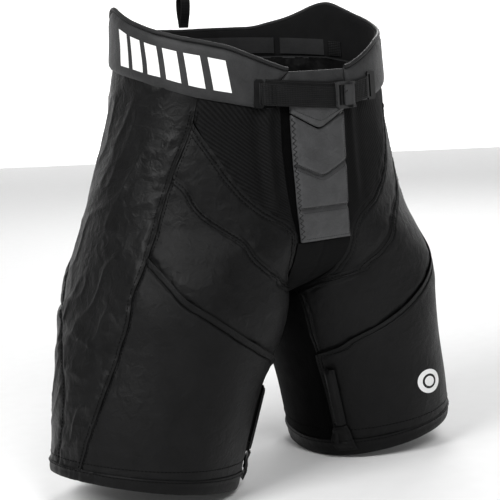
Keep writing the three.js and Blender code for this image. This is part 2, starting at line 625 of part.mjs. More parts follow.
for (const half of ["right", "left"]) {
  const seat = zipFrame(half);
  const toward = half === "right" ? 1 : -1;
  add(`zipper_tape_${half}`, boxAt(13, 0.7, ZIP_LENGTH, 0, 0.35, ZIP_LENGTH / 2), "webbing", seat);
  const rack = toothedRack().rotateX(Math.PI / 2).translate(0, 0.7 + REST + 1.2, 0);
  add(`zipper_teeth_${half}`, rack, "zipper_plastic", seat);
  const top = 0.7 + 2 * REST + 1.2;
  const skirt = [[-4, 0.7 + REST], [-2.8, 0.7 + REST], [-2.8, top], [2.8, top], [2.8, 0.7 + REST],
    [4, 0.7 + REST], [4, top + 1.1], [-4, top + 1.1]];
  const slider = plate(skirt, 10).translate(0, 0, 4);
  add(`zipper_slider_${half}`, slider, "moulded_plastic", seat);
  const pullY = top + 1.1 + REST + 0.5;
  const pull = toManifold(boxAt(5, 1, 15, 0, pullY, 12.5 - 7.5))
    .add(toManifold(new THREE.CylinderGeometry(0.5, 0.5, 5, 10).rotateZ(Math.PI / 2)
      .translate(0, pullY, 12.5)));
  add(`zipper_pull_${half}`, fromManifold(pull), "moulded_plastic", seat);
  const flapY = pullY + 0.5 + REST;
  const flapW = 17;
  const flap = plate([[-flapW / 2, TAB_TOP + REST], [flapW / 2, TAB_TOP + REST],
    [flapW / 2, ZIP_LENGTH + 1], [-flapW / 2 + 3, ZIP_LENGTH + 1], [-flapW / 2, ZIP_LENGTH - 3]]
    .map(([x, z]) => [x * toward, z]), 1).rotateX(Math.PI / 2).translate(0, flapY + 1, 0);
  add(`placket_flap_${half}`, flap, "shell_nylon", seat);
  const tab = plate([[-9, -30], [-15, -15], [-9, TAB_TOP - 3], [9, TAB_TOP], [17, -29]]
    .map(([x, z]) => [x * toward, z]), 1.6).rotateX(Math.PI / 2).translate(0, flapY + 1.6, 0);
  add(`hem_tab_${half}`, tab, "belt_nylon", seat);
}

// The frame's origin is under the middle of the whole, on the floor.
const extent = new THREE.Box3().setFromObject(group);
const middle = extent.getCenter(new THREE.Vector3());
group.position.set(-middle.x, -middle.y, -extent.min.z);

export default group;
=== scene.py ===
"""Hockey over-shell: cloth panels, padded belt, strap, buckle, fly, zips and hems."""
import json
import math

import bpy
import numpy as np
from mathutils import Matrix, Vector
from mathutils.bvhtree import BVHTree

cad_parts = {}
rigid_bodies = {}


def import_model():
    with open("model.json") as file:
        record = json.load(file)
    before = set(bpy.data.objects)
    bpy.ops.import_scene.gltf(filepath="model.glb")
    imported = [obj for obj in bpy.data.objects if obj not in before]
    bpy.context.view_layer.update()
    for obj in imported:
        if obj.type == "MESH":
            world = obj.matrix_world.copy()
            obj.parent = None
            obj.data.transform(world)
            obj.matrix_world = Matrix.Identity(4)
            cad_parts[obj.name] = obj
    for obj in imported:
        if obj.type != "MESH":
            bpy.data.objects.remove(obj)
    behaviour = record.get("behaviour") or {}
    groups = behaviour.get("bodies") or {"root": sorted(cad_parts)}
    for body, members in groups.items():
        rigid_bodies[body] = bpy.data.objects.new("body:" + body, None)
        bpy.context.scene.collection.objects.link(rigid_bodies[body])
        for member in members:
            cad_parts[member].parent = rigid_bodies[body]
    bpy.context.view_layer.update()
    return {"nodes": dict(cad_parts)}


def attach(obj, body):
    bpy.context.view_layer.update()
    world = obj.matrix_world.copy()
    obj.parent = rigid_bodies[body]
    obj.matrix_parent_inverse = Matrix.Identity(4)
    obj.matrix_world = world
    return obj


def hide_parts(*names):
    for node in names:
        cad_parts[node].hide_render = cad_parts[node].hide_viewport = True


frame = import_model()

MM = 0.001                                  # lengths are in mm up to where a mesh is made
SHIFT = np.array([0.0, -2.41, 20.97])       # from the pattern's own origin to the frame's, mm
CLOTH = 1.2                                 # thickness of the panels
HEM_BAND_H = 17.0

# ------------------------------------------------------------------- body form
HEIGHTS = [0, 90, 180, 200, 225, 260, 300, 330, 420, 500, 580]
OUT = [280, 266, 242, 237, 230, 222, 211, 203, 178, 169, 166]
FRONT = [104, 118, 125, 126, 126, 127, 128.5, 129, 126, 125, 123]
BACK = [108, 116, 130, 133, 137, 142, 145, 144, 128, 120, 120]
IN = [-80, -54, -14, -10, -4, 60, 190, 203, 178, 169, 166]
SQUARE = [2.2, 2.25, 2.6, 2.7, 2.6, 2.3, 2.25, 2.2, 2.2, 2.2, 2.2]
TURN = [0.4, 0.45, 0.15, 0.08, 0, 0, 0, 0, 0, 0, 0]
RISE = [0.2, 0, 0, 0, 0, 0, 0, 0, 0, 0, 0]
LEAN = [0, 0, 0, 0, 0, 0, 0.02, 0.05, 0.1, 0.1, 0.1]

SIDE_SEAM = [[0, 104], [53, 103], [87, 100], [120, 93], [157, 81], [221, 64],
             [267, 60], [308, 60], [361, 58], [396, 55], [419, 53], [460, 51]]
THIGH_SEAM_HIGH = [[267, -11], [290, 8], [322, 25], [350, 34], [381, 42], [419, 53]]
THIGH_SEAM_MID = [[215, -50], [224, -33], [234, -23], [243, -11], [256, 4],
                  [279, 22], [299, 35], [322, 45], [346, 51], [361, 58]]
THIGH_SEAM_LOW = [[116, -43], [128, -28], [137, -22], [154, -5], [173, 10],
                  [190, 20], [207, 29], [241, 46], [267, 60]]
INSEAM = [[0, -42], [116, -43], [143, -47], [195, -59], [200, -62]]
GUSSET_FRONT = [[200, -62], [215, -50], [232, -38], [249, -24], [267, -11]]
GUSSET_BACK_X = [[215, 26], [232, 28], [249, 22], [267, 12], [285, 3], [300, 0.3]]
REAR_SEAM = 125
BACK_INSEAM = 242
FREE_EDGE_X = [[267, 38.2], [278, 43], [300, 49], [343, 55], [386, 57], [470, 55]]
BELT_BOTTOM = [[0, 435], [27, 435], [39, 441], [51, 446], [68, 455], [86, 461],
               [110, 466], [150, 464], [180, 463]]
BELT_TOP = [[0, 474], [15, 474], [22, 481], [30, 490], [39, 500], [49, 505], [60, 509],
            [74, 515], [90, 523], [100, 530], [107, 535], [115, 531], [130, 513],
            [147, 500], [180, 498]]
BELT_END = {"right": (26, 15), "left": (14, 13.4)}
FLY_RIGHT = [[267, -37], [316, -42], [367, -44], [460, -44]]
FLY_LEFT = [[267, 38], [303, 35], [360, 35], [460, 37]]
STRAP_LINE = [[-95, 451], [-79, 451], [18, 443], [48, 447], [98, 453]]
FLY_TOP = 458


def along(table, key):
    """Straight-line value of a table of [key, value] pairs."""
    keys, values = zip(*table)
    return np.interp(key, keys, values)


def run_lengths(points):
    """Distance of each point of a polyline from its start."""
    steps = np.linalg.norm(np.diff(points, axis=0), axis=1)
    return np.concatenate([[0], np.cumsum(steps)])


def smooth(keys, values, at):
    """Monotone cubic through the given points."""
    h = np.asarray(keys, float)
    c = np.asarray(values, float)
    step = np.diff(h)
    slope = np.diff(c) / step
    tangent = np.zeros(len(h))
    tangent[0], tangent[-1] = slope[0], slope[-1]
    for i in range(1, len(h) - 1):
        a, b = slope[i - 1], slope[i]
        if a * b > 0:
            wa = 2 * step[i] + step[i - 1]
            wb = step[i] + 2 * step[i - 1]
            tangent[i] = (wa + wb) / (wa / a + wb / b)
    at = np.asarray(at, float)
    i = np.clip(np.searchsorted(h, at) - 1, 0, len(h) - 2)
    t = (at - h[i]) / step[i]
    t2, t3 = t * t, t * t * t
    return ((2 * t3 - 3 * t2 + 1) * c[i] + (t3 - 2 * t2 + t) * step[i] * tangent[i]
            + (-2 * t3 + 3 * t2) * c[i + 1] + (t3 - t2) * step[i] * tangent[i + 1])


def seam(table, key):
    """Smooth value of a seam table."""
    keys, values = zip(*table)
    return smooth(keys, values, np.clip(key, keys[0], keys[-1]))


RING_TABLES = {"out": OUT, "in": IN, "front": FRONT, "back": BACK, "square": SQUARE,
               "turn": TURN, "rise": RISE, "lean": LEAN}


def ring_at(z):
    """Centre, reach and shape of the form's ring at height z."""
    r = {key: smooth(HEIGHTS, table, z) for key, table in RING_TABLES.items()}
    r["cx"], r["ax"] = (r["in"] - r["out"]) / 2, (r["out"] + r["in"]) / 2
    r["cy"], r["ay"] = (r["back"] - r["front"]) / 2, (r["back"] + r["front"]) / 2
    return r


def body_point(half, angle, z, off=0.0):
    """Point of one half of the form, mm in the frame: angle in degrees, height, distance out."""
    r = ring_at(z)
    a = np.radians(angle)
    s, c = np.sin(a), np.cos(a)
    k = (np.abs(s) ** r["square"] + np.abs(c) ** r["square"]) ** (-1 / r["square"])
    lx = -(r["ax"] + off) * s * k
    ly = -(r["ay"] + off) * c * k
    x = r["cx"] + lx * np.cos(r["turn"]) - ly * np.sin(r["turn"])
    y = r["cy"] + lx * np.sin(r["turn"]) + ly * np.cos(r["turn"])
    up = z + r["rise"] * (r["cx"] - x) + r["lean"] * (y - r["cy"])
    return np.stack(np.broadcast_arrays(x if half == "right" else -x, y, up), -1) + SHIFT


def front_point(x, z, off=0.0):
    """Point of the front of the trunk by its x."""
    r = ring_at(z)
    reach = r["out"] + off
    share = np.minimum(0.999, np.abs(x) / reach)
    y = r["cy"] - (r["ay"] + off) * (1 - share ** r["square"]) ** (1 / r["square"])
    return np.stack(np.broadcast_arrays(x, y, z + r["lean"] * (y - r["cy"])), -1) + SHIFT


def angle_at(z, x, low, high):
    """Angle at which a half's ring stands x from the middle."""
    z, x = np.broadcast_arrays(np.asarray(z, float), np.asarray(x, float))
    a, b = np.full(z.shape, float(low)), np.full(z.shape, float(high))

    def side(t):
        return np.sign(body_point("right", t, z)[..., 0] + x)
    first = side(a)
    for _ in range(40):
        mid = (a + b) / 2
        same = side(mid) == first
        a, b = np.where(same, mid, a), np.where(same, b, mid)
    return (a + b) / 2


# ------------------------------------------------------------------ soft noise
LATTICE = np.random.default_rng(11).random((32, 32, 32))


def soft_noise(p, size):
    """Smooth noise from -1 to 1 at points p (mm), with features about size mm across."""
    q = p / np.asarray(size, float)
    base = np.floor(q).astype(int)
    f = q - base
    f = f * f * (3 - 2 * f)
    total = 0.0
    for dx in (0, 1):
        for dy in (0, 1):
            for dz in (0, 1):
                w = ((f[..., 0] if dx else 1 - f[..., 0]) * (f[..., 1] if dy else 1 - f[..., 1])
                     * (f[..., 2] if dz else 1 - f[..., 2]))
                total = total + w * LATTICE[(base[..., 0] + dx) % 32, (base[..., 1] + dy) % 32,
                                            (base[..., 2] + dz) % 32]
    return total * 2 - 1


def creases(p, size):
    """Sharp-topped folds between broad hollows, 0 to 1."""
    return 1 - np.abs(soft_noise(p, size)) * 2


# ------------------------------------------------------------------- materials
def new_material(name):
    """A material with one shader; returns it, its node tree and the shader."""
    mat = bpy.data.materials.new(name)
    mat.use_nodes = True
    nodes = mat.node_tree.nodes
    nodes.clear()
    out = nodes.new("ShaderNodeOutputMaterial")
    shader = nodes.new("ShaderNodeBsdfPrincipled")
    mat.node_tree.links.new(shader.outputs[0], out.inputs[0])
    return mat, mat.node_tree, shader


def add_node(tree, kind, **values):
    """A node with its inputs, or else its settings, given by name."""
    node = tree.nodes.new(kind)
    for key, value in values.items():
        if key in node.inputs:
            node.inputs[key].default_value = value
        else:
            setattr(node, key, value)
    return node


def math_node(tree, op, a, b=0.5):
    node = tree.nodes.new("ShaderNodeMath")
    node.operation = op
    for i, value in enumerate((a, b)):
        if isinstance(value, (int, float)):
            node.inputs[i].default_value = value
        else:
            tree.links.new(value, node.inputs[i])
    return node.outputs[0]


def ramp(tree, value, low, high, low_at=0.3, high_at=0.7):
    """The value, stretched from low_at..high_at to low..high."""
    node = add_node(tree, "ShaderNodeMapRange", **{
        "From Min": low_at, "From Max": high_at, "To Min": low, "To Max": high})
    tree.links.new(value, node.inputs["Value"])
    return node.outputs[0]


def cloud(tree, **sizes):
    """Noise over the piece's own place in the garment."""
    node = add_node(tree, "ShaderNodeTexNoise", **sizes)
    place = tree.nodes.new("ShaderNodeTexCoord").outputs["Object"]
    tree.links.new(place, node.inputs["Vector"])
    return node.outputs["Fac"]


def raise_bumps(tree, shader, height, strength, depth, under=None):
    """Bumps of the given depth on a shader, over other bumps."""
    node = add_node(tree, "ShaderNodeBump", Strength=strength, Distance=depth)
    tree.links.new(height, node.inputs["Height"])
    if under is not None:
        tree.links.new(under, node.inputs["Normal"])
    tree.links.new(node.outputs[0], shader.inputs["Normal"])
    return node.outputs[0]


def tint(tree, factor, dark, light):
    node = tree.nodes.new("ShaderNodeMix")
    node.data_type = "RGBA"
    node.inputs["A"].default_value = (*dark, 1)
    node.inputs["B"].default_value = (*light, 1)
    tree.links.new(factor, node.inputs["Factor"])
    return node.outputs["Result"]


def waves(tree, coords, axis, pitch, turn=0.0):
    """Ribs at the given pitch in metres, across U or V of the cloth's own map."""
    mapping = tree.nodes.new("ShaderNodeMapping")
    mapping.inputs["Rotation"].default_value = (0, 0, turn)
    tree.links.new(coords, mapping.inputs["Vector"])
    split = tree.nodes.new("ShaderNodeSeparateXYZ")
    tree.links.new(mapping.outputs[0], split.inputs[0])
    phase = math_node(tree, "MULTIPLY", split.outputs[axis], 2 * math.pi / pitch)
    return math_node(tree, "SINE", phase)


KNIT_LEAN, TWILL_LEAN = math.radians(31), math.radians(45)


def woven(tree, uv, weave, pitch):
    """Threads of the cloth, -1 to 1 or a little more."""
    def crossed(over, under, share):
        return math_node(tree, "ADD", over, math_node(tree, "MULTIPLY", under, share))
    if weave == "plain":
        return math_node(tree, "MULTIPLY", waves(tree, uv, 0, pitch), waves(tree, uv, 1, pitch))
    if weave == "knit":
        return crossed(waves(tree, uv, 0, pitch, KNIT_LEAN),
                       waves(tree, uv, 1, pitch * 0.55, KNIT_LEAN), 0.3)
    if weave == "webbing":
        return crossed(waves(tree, uv, 1, pitch), waves(tree, uv, 0, pitch * 1.6), 0.6)
    return waves(tree, uv, 0, pitch, TWILL_LEAN)


def cloth_material(name, dark, light, rough, pitch=0.0011, weave="plain", bump=0.25,
                   sheen=0.0, specular=0.12, rib_tint=0.25, crumple=0.3):
    """Woven or knitted cloth on the piece's own map in metres."""
    mat, tree, shader = new_material(name)
    uv = add_node(tree, "ShaderNodeUVMap", uv_map="cloth").outputs[0]
    patchy = cloud(tree, Scale=50.0, Detail=4.0, Roughness=0.6)
    fine = cloud(tree, Scale=900.0, Detail=3.0, Roughness=0.75)
    crush = cloud(tree, Scale=85.0, Detail=3.0, Roughness=0.55, Distortion=0.6)
    ribs = woven(tree, uv, weave, pitch)
    mixed = math_node(tree, "MULTIPLY", ramp(tree, ribs, 0.0, 1.0, -1.0, 1.0), rib_tint)
    for noise, share in ((patchy, 0.55), (fine, 0.45)):
        part = math_node(tree, "MULTIPLY", ramp(tree, noise, 0, 1), share - rib_tint / 2)
        mixed = math_node(tree, "ADD", mixed, part)
    tree.links.new(tint(tree, mixed, dark, light), shader.inputs["Base Color"])
    lift = math_node(tree, "ADD", ramp(tree, patchy, rough - 0.06, rough + 0.06),
                     ramp(tree, fine, -0.03, 0.03))
    tree.links.new(lift, shader.inputs["Roughness"])
    height = math_node(tree, "ADD", math_node(tree, "MULTIPLY", ribs, 0.5),
                       math_node(tree, "MULTIPLY", fine, 0.8))
    broad = raise_bumps(tree, shader, crush, crumple, 0.0016)
    raise_bumps(tree, shader, height, bump, 0.0002, broad)
    for label, value in (("Sheen Weight", sheen), ("Sheen Roughness", 0.45),
                         ("Specular IOR Level", specular)):
        shader.inputs[label].default_value = value
    return mat


def plastic_material(name, dark, light, rough, specular=0.5):
    """Moulded plastic with a fine spark-eroded grain, random paler patches and paler edges painted
    as a highlight.
    """
    mat, tree, shader = new_material(name)
    grain = cloud(tree, Scale=2600.0, Detail=3.0)
    patchy = cloud(tree, Scale=90.0, Detail=4.0)
    geometry = tree.nodes.new("ShaderNodeNewGeometry")
    # Convex edges found by pointiness are painted paler: a painted highlight where the bevels catch
    # the light.
    edge = ramp(tree, geometry.outputs["Pointiness"], 0.0, 1.0, 0.52, 0.62)
    edge_highlight_and_mottle = math_node(tree, "ADD", math_node(tree, "MULTIPLY", edge, 0.6),
                     ramp(tree, patchy, 0.0, 0.4, 0.35, 0.7))
    tree.links.new(tint(tree, edge_highlight_and_mottle, dark, light), shader.inputs["Base Color"])
    tree.links.new(ramp(tree, patchy, rough - 0.07, rough + 0.07), shader.inputs["Roughness"])
    shader.inputs["Specular IOR Level"].default_value = specular
    raise_bumps(tree, shader, grain, 0.12, 0.0001)
    return mat


def grey(v):
    """The faintly cold grey that all the dark cloths share."""
    return (v, v * 1.01, v * 1.04)


FRONT_NYLON = cloth_material("front_nylon", grey(0.0016), grey(0.0065), 0.44, bump=0.35,
                             crumple=0.8)
SIDE_NYLON = cloth_material("side_nylon", grey(0.0014), grey(0.0055), 0.42, specular=0.13,
                            crumple=0.9)
STRETCH_KNIT = cloth_material("stretch_knit", grey(0.0003), grey(0.0065), 0.7, 0.0036, "knit",
                              0.8, sheen=0.01, rib_tint=0.65, specular=0.07)
# Painted shade: this knit is darker than its cloth, so the inner legs and the hollow behind the fly
# read as shaded.
SHADED_INNER_KNIT = cloth_material("inner_knit", grey(0.0006), grey(0.003), 0.75, 0.0022, "knit",
                            0.6, rib_tint=0.5, specular=0.03)
GUSSET_KNIT = cloth_material("gusset_knit", grey(0.001), grey(0.005), 0.7, 0.0016, "knit",
                             0.4, sheen=0.01, specular=0.06)
HEM_NYLON = cloth_material("hem_nylon", grey(0.0014), grey(0.006), 0.45, bump=0.3,
                           specular=0.11, crumple=0.5)
BELT_NYLON = cloth_material("belt_nylon", grey(0.008), grey(0.036), 0.5, 0.0018, bump=0.6,
                            sheen=0.02, specular=0.2, crumple=0.45)
BINDING_TAPE = cloth_material("binding_tape", grey(0.006), grey(0.018), 0.5, 0.0016, "twill",
                              0.4, sheen=0.02, specular=0.16)
LINING_CLOTH = cloth_material("lining_cloth", grey(0.003), grey(0.009), 0.85, 0.002, "twill",
                              0.4, sheen=0.03, specular=0.08)
PATCH_CLOTH = cloth_material("patch_cloth", grey(0.008), grey(0.024), 0.8, 0.0018, bump=0.5,
                             sheen=0.03)
WEBBING = cloth_material("webbing", grey(0.0008), grey(0.012), 0.5, 0.0021, "webbing", 0.9,
                         rib_tint=0.6, specular=0.1)
FLY_CLOTH = cloth_material("fly_cloth", grey(0.022), grey(0.062), 0.4, 0.0014, bump=0.4,
                           sheen=0.03, specular=0.3, crumple=1.0)
THREAD = cloth_material("thread", grey(0.0003), grey(0.0018), 0.7, 0.0006, "twill", 0.3,
                        specular=0.04)
PRINT_WHITE = cloth_material("print_white", (0.74,) * 3, (0.86,) * 3, 0.5, 0.0013, bump=0.2,
                             specular=0.5, rib_tint=0.1)
MOULDED = plastic_material("moulded_plastic", grey(0.010), grey(0.03), 0.32)
ZIP_PLASTIC = plastic_material("zip_plastic", grey(0.001), grey(0.005), 0.35, 0.16)


# --------------------------------------------------------------- mesh building
STANDS_FOR = {"fly_top_pad": "fly_top_panel"}


def make_object(name, verts, faces, uvs, material, body):
    """A finished piece in metres with its own cloth map; it stands for the node it's named by."""
    if volume_of(verts, faces) < 0:
        faces = [tuple(reversed(f)) for f in faces]
    mesh = bpy.data.meshes.new(name)
    mesh.from_pydata([tuple(v) for v in np.asarray(verts) * MM], [], faces)
    layer = mesh.uv_layers.new(name="cloth")
    index = np.empty(len(mesh.loops), dtype=np.int32)
    mesh.loops.foreach_get("vertex_index", index)
    layer.data.foreach_set("uv", (np.asarray(uvs)[index] * MM).astype(np.float32).ravel())
    mesh.polygons.foreach_set("use_smooth", [True] * len(mesh.polygons))
    mesh.set_sharp_from_angle(angle=math.radians(50))
    mesh.materials.append(material)
    obj = riding(name, mesh, body)
    node = STANDS_FOR.get(name, name.rsplit("_", 1)[0])
    if node in frame["nodes"]:
        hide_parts(node)
    return obj


def place_object(name, data):
    obj = bpy.data.objects.new(name, data)
    bpy.context.scene.collection.objects.link(obj)
    return obj


def riding(name, mesh, body):
    """A piece of the garment that rides on a body."""
    obj = place_object(name, mesh)
    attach(obj, body)
    return obj


def grid_normals(p, wrap=False):
    """Directions square to a grid of points."""
    du = np.roll(p, -1, 1) - np.roll(p, 1, 1) if wrap else np.gradient(p, axis=1)
    dv = np.gradient(p, axis=0)
    n = np.cross(du, dv)
    return n / np.maximum(np.linalg.norm(n, axis=-1, keepdims=True), 1e-9)


def outward(p, n):
    """The same normals, turned to point away from the garment's inside."""
    centre = p.reshape(-1, 3).mean(0)
    inside = np.array([np.sign(centre[0]) * 60.0 if centre[2] > 300 else centre[0], 0, centre[2]])
    if abs(centre[0]) < 30:
        inside = np.array([0.0, 0.0, centre[2]])
    elif centre[2] < 330:
        inside = np.array([np.sign(centre[0]) * 160.0, 0, centre[2]])
    flip = np.sign(((p - inside) * n).sum(-1).mean())
    return n * flip


def slab_faces(nv, nu, wrap=False):
    """Faces of a slab from an outer and an inner grid, with its walls."""
    span = nu if wrap else nu - 1

    def quad(*corners):
        return tuple(layer * nv * nu + j * nu + i % nu for j, i, layer in corners)
    faces = []
    for j in range(nv - 1):
        for i in range(span):
            faces.append(quad((j, i, 0), (j, i + 1, 0), (j + 1, i + 1, 0), (j + 1, i, 0)))
            faces.append(quad((j, i, 1), (j + 1, i, 1), (j + 1, i + 1, 1), (j, i + 1, 1)))
    last = nv - 1
    for i in range(span):
        faces.append(quad((0, i, 0), (0, i, 1), (0, i + 1, 1), (0, i + 1, 0)))
        faces.append(quad((last, i, 0), (last, i + 1, 0), (last, i + 1, 1), (last, i, 1)))
    end = nu - 1
    for j in range(0 if wrap else last):
        faces.append(quad((j, 0, 0), (j + 1, 0, 0), (j + 1, 0, 1), (j, 0, 1)))
        faces.append(quad((j, end, 0), (j, end, 1), (j + 1, end, 1), (j + 1, end, 0)))
    return faces


def volume_of(verts, faces):
    """Signed volume inside the faces, negative when they point inwards."""
    v = np.asarray(verts)
    f = np.array([q for q in faces if len(q) == 4])
    a, b, c, d = v[f[:, 0]], v[f[:, 1]], v[f[:, 2]], v[f[:, 3]]
    return ((a * np.cross(b, c)).sum() + (a * np.cross(c, d)).sum()) / 6


def slab_piece(name, outer, inner, uv, material, body="shell", wrap=False):
    """One closed layer of cloth or padding between two grids of points."""
    verts = np.concatenate([outer.reshape(-1, 3), inner.reshape(-1, 3)])
    uvs = np.concatenate([uv.reshape(-1, 2)] * 2)
    faces = slab_faces(*outer.shape[:2], wrap)
    return make_object(name, verts, faces, uvs, material, body)


def arc_map(p):
    """Map of a grid by its own measured lengths, mm."""
    across = np.zeros(p.shape[:2])
    across[:, 1:] = np.cumsum(np.linalg.norm(np.diff(p, axis=1), axis=-1), axis=1)
    across -= across[:, across.shape[1] // 2][:, None]
    up = np.zeros(p.shape[:2])
    up[1:] = np.cumsum(np.linalg.norm(np.diff(p, axis=0), axis=-1), axis=0)
    return np.stack([across, up], -1)


def line_distance(p, line):
    """Distance of each grid point from a polyline given by its points."""
    flat = p.reshape(-1, 3)
    a, b = line[:-1], line[1:]
    ab = b - a
    length = np.maximum((ab ** 2).sum(-1), 1e-9)
    best = np.full(len(flat), 1e9)
    for start, step, size in zip(a, ab, length):
        t = np.clip(((flat - start) @ step) / size, 0, 1)
        best = np.minimum(best, np.linalg.norm(flat - start - t[:, None] * step, axis=-1))
    return best.reshape(p.shape[:2])


def resample(points, step):
    """A polyline at even spacing."""
    points = np.asarray(points, float)
    d = run_lengths(points)
    count = max(2, int(d[-1] / step) + 1)
    at = np.linspace(0, d[-1], count)
    return np.stack([np.interp(at, d, points[:, k]) for k in range(3)], -1)


# --------------------------------------------------------------------- folds
def drape(p):
    """Broad soft hang of the cloth over the whole garment, mm outwards."""
    low = np.clip((p[..., 2] - 20) / 60, 0, 1)
    broad = soft_noise(p, (95, 95, 150)) * 2.4
    medium = soft_noise(p + 300, (38, 38, 70)) * 0.9
    return (broad + medium) * (0.35 + 0.65 * low)


SEAM_SINK, SEAM_REACH = 1.6, 3.4       # how deep a seam draws the cloth down, and how far out


def inseam_back(z):
    """Angle of the gusset's edge low at the back, from the inner seam up to the seat."""
    return BACK_INSEAM + (angle_at(215, 26, 90, 270) - BACK_INSEAM) * (z - 200) / 15


def seat_edge(z):
    """Edge of the seat panel: beside the gusset, then meeting its twin at the centre back."""
    x = np.where(z > 296, 0.0, along(GUSSET_BACK_X, z))
    a = angle_at(np.maximum(z, 215), x, 90, 270)
    return np.where(z < 215, inseam_back(z), a)


def front_edge(half, z):
    """Edge of the stretch panel beside the fly."""
    x = along(FREE_EDGE_X, z) if half == "right" else along(FLY_LEFT, z) + 0.3
    return np.minimum(angle_at(z, x, -60, 60), seam(THIGH_SEAM_HIGH, z))


def side_seam(z):
    return seam(SIDE_SEAM, z)


def cloth_top(half, a):
    """Height at which the leg's cloth ends under the belt, with a tongue by the fly."""
    low = BELT_END[half][0]
    tongue = np.minimum(FLY_TOP - 4, 434.5 + np.maximum(0, low - a - 6) * 3.5)
    return np.where(a > low + 1, along(BELT_BOTTOM, a) + 1.5, tongue)


ROWS = {"right": [], "left": []}


def keep_row(half, grid, n, at):
    """Remembers a line of stitches that runs at a set distance from a panel's first edge."""
    line, run = [], []
    for j in range(grid.shape[0]):
        reach = run_lengths(grid[j])
        if reach[-1] < at * 1.9:
            continue
        tilt = slant_of(grid, j)
        place = np.interp(at / max(tilt, 0.35), reach, np.arange(len(reach)))
        i = int(min(place, grid.shape[1] - 2))
        t = place - i
        line.append(grid[j, i] * (1 - t) + grid[j, i + 1] * t + n[j, i] * 0.1)
    if len(line) > 3:
        ROWS[half].append(resample(np.array(line), 1.6))


def slant_of(grid, j):
    """How much a step across the panel leads away from its first edge at row j, 0 to 1."""
    a, b = max(j - 1, 0), min(j + 1, grid.shape[0] - 1)
    edge = grid[b, 0] - grid[a, 0]
    over = grid[j, 1] - grid[j, 0]
    cosine = abs(edge @ over) / max(np.linalg.norm(edge) * np.linalg.norm(over), 1e-9)
    return math.sqrt(max(0.0, 1 - cosine ** 2))


def panel(name, half, low, high, inner, outer, material, top=False, step=2.1,
          relief=None, edges="lrbt", channels=()):
    """One cut panel between two seams: sunk at its edges, draped and creased between."""
    rows = int((high - low) / step) + 2
    z = np.linspace(low, high, rows)
    a_in, a_out = inner(z), np.maximum(outer(z), inner(z) + 0.02)
    width = np.linalg.norm(body_point(half, a_in, z) - body_point(half, a_out, z), axis=-1).max()
    cols = max(6, int(width * 1.25 / step))
    u = np.linspace(0, 1, cols)
    angle = a_in[:, None] + (a_out - a_in)[:, None] * u
    height = np.repeat(z[:, None], cols, 1)
    if top:
        reach = np.clip((height - 395) / (high - 395), 0, 1)
        height = height + (cloth_top(half, angle) - high) * reach
    p = body_point(half, angle, height, CLOTH)
    n = outward(p, grid_normals(p))
    sides = {"l": p[:, 0], "r": p[:, -1], "b": p[0], "t": p[-1]}
    near = np.full(p.shape[:2], 1e9)
    for key in edges:
        near = np.minimum(near, line_distance(p, sides[key]))
    lift = drape(p) * (1 - 0.55 * np.exp(-near / 12))
    lift = lift - SEAM_SINK * np.exp(-(near / SEAM_REACH) ** 1.5)
    lift = lift + soft_noise(p + 900, (8, 8, 8)) * np.exp(-((near - 4) / 8) ** 2)
    if channels:
        d = line_distance(p, sides["l"]) + soft_noise(p, 5.0) * 0.5
        for at in channels:
            lift = lift - np.exp(-((d - at) / 1.25) ** 2)
        lift = lift + 0.5 * np.exp(-((d - np.mean(channels)) / 1.8) ** 2)
    if relief is not None:
        lift = lift + relief(p, angle, height, near, sides)
    outer_grid = p + n * lift[..., None]
    for at in channels:
        keep_row(half, outer_grid, n, at)
    return slab_piece(f"{name}_{half}_cloth", outer_grid, outer_grid - n * CLOTH, arc_map(p),
                      material)


def side_creases(p, angle, height, near, sides):
    """Crinkles of the glossy side: short steep folds that gather towards its seams."""
    slant = p @ np.array([[1, 0, 0.35], [0, 1, 0.35], [0, 0, 1]]).T
    small = np.maximum(creases(slant, (24, 24, 62)), 0) ** 2 * 1.5
    cross = np.maximum(creases(slant + 400, (44, 44, 17)), 0) ** 2 * 0.5
    gather = creases(p + 50, (60, 60, 11)) * 0.9 * np.exp(-near / 12)
    return (small + cross) * np.clip(near / 10, 0, 1) + gather


def overlap_below(p, angle, height, near, sides):
    """The middle panel dips where the lower panel's folded edge lies over it."""
    d = line_distance(p, sides["r"][p[:, -1, 2] < 267 + SHIFT[2]])
    return (-1.4 if p[0, 0, 0] < 0 else -0.5) * np.exp(-(d / 9) ** 2)


def proud_edge(p, angle, height, near, sides):
    """The lower panel's top edge is folded over and stands proud."""
    d = line_distance(p, sides["l"][p[:, 0, 2] > 116 + SHIFT[2]])
    much = 1.0 if p[0, 0, 0] < 0 else 0.5
    return much * (2.7 * np.exp(-(d / 4.5) ** 2) + 0.9 * np.exp(-((d - 10) / 5) ** 2))


def fly_side_fold(p, angle, height, near, sides):
    """The stretch panel rolls up beside the fly and falls in one long fold from the belt."""
    d = line_distance(p, sides["l"])
    much = 1.0 if p[0, 0, 0] < 0 else 0.3
    high = np.clip((height - 280) / 60, 0, 1)
    roll = 1.6 * np.exp(-(d / 5) ** 2) + 4.4 * np.exp(-((d - 15 - (height - 430) * -0.03) / 6) ** 2)
    return much * high * (roll - 1.6 * np.exp(-((d - 30) / 7) ** 2))


def hem_gather(p, angle, height, near, sides):
    """The side's crinkles, with upright folds above the drawn-in hem."""
    return side_creases(p, angle, height, near, sides) + creases(
        p, (14, 14, 60)) * 1.4 * np.exp(-(p[..., 2] - 38) / 22) * (p[..., 2] < 140)


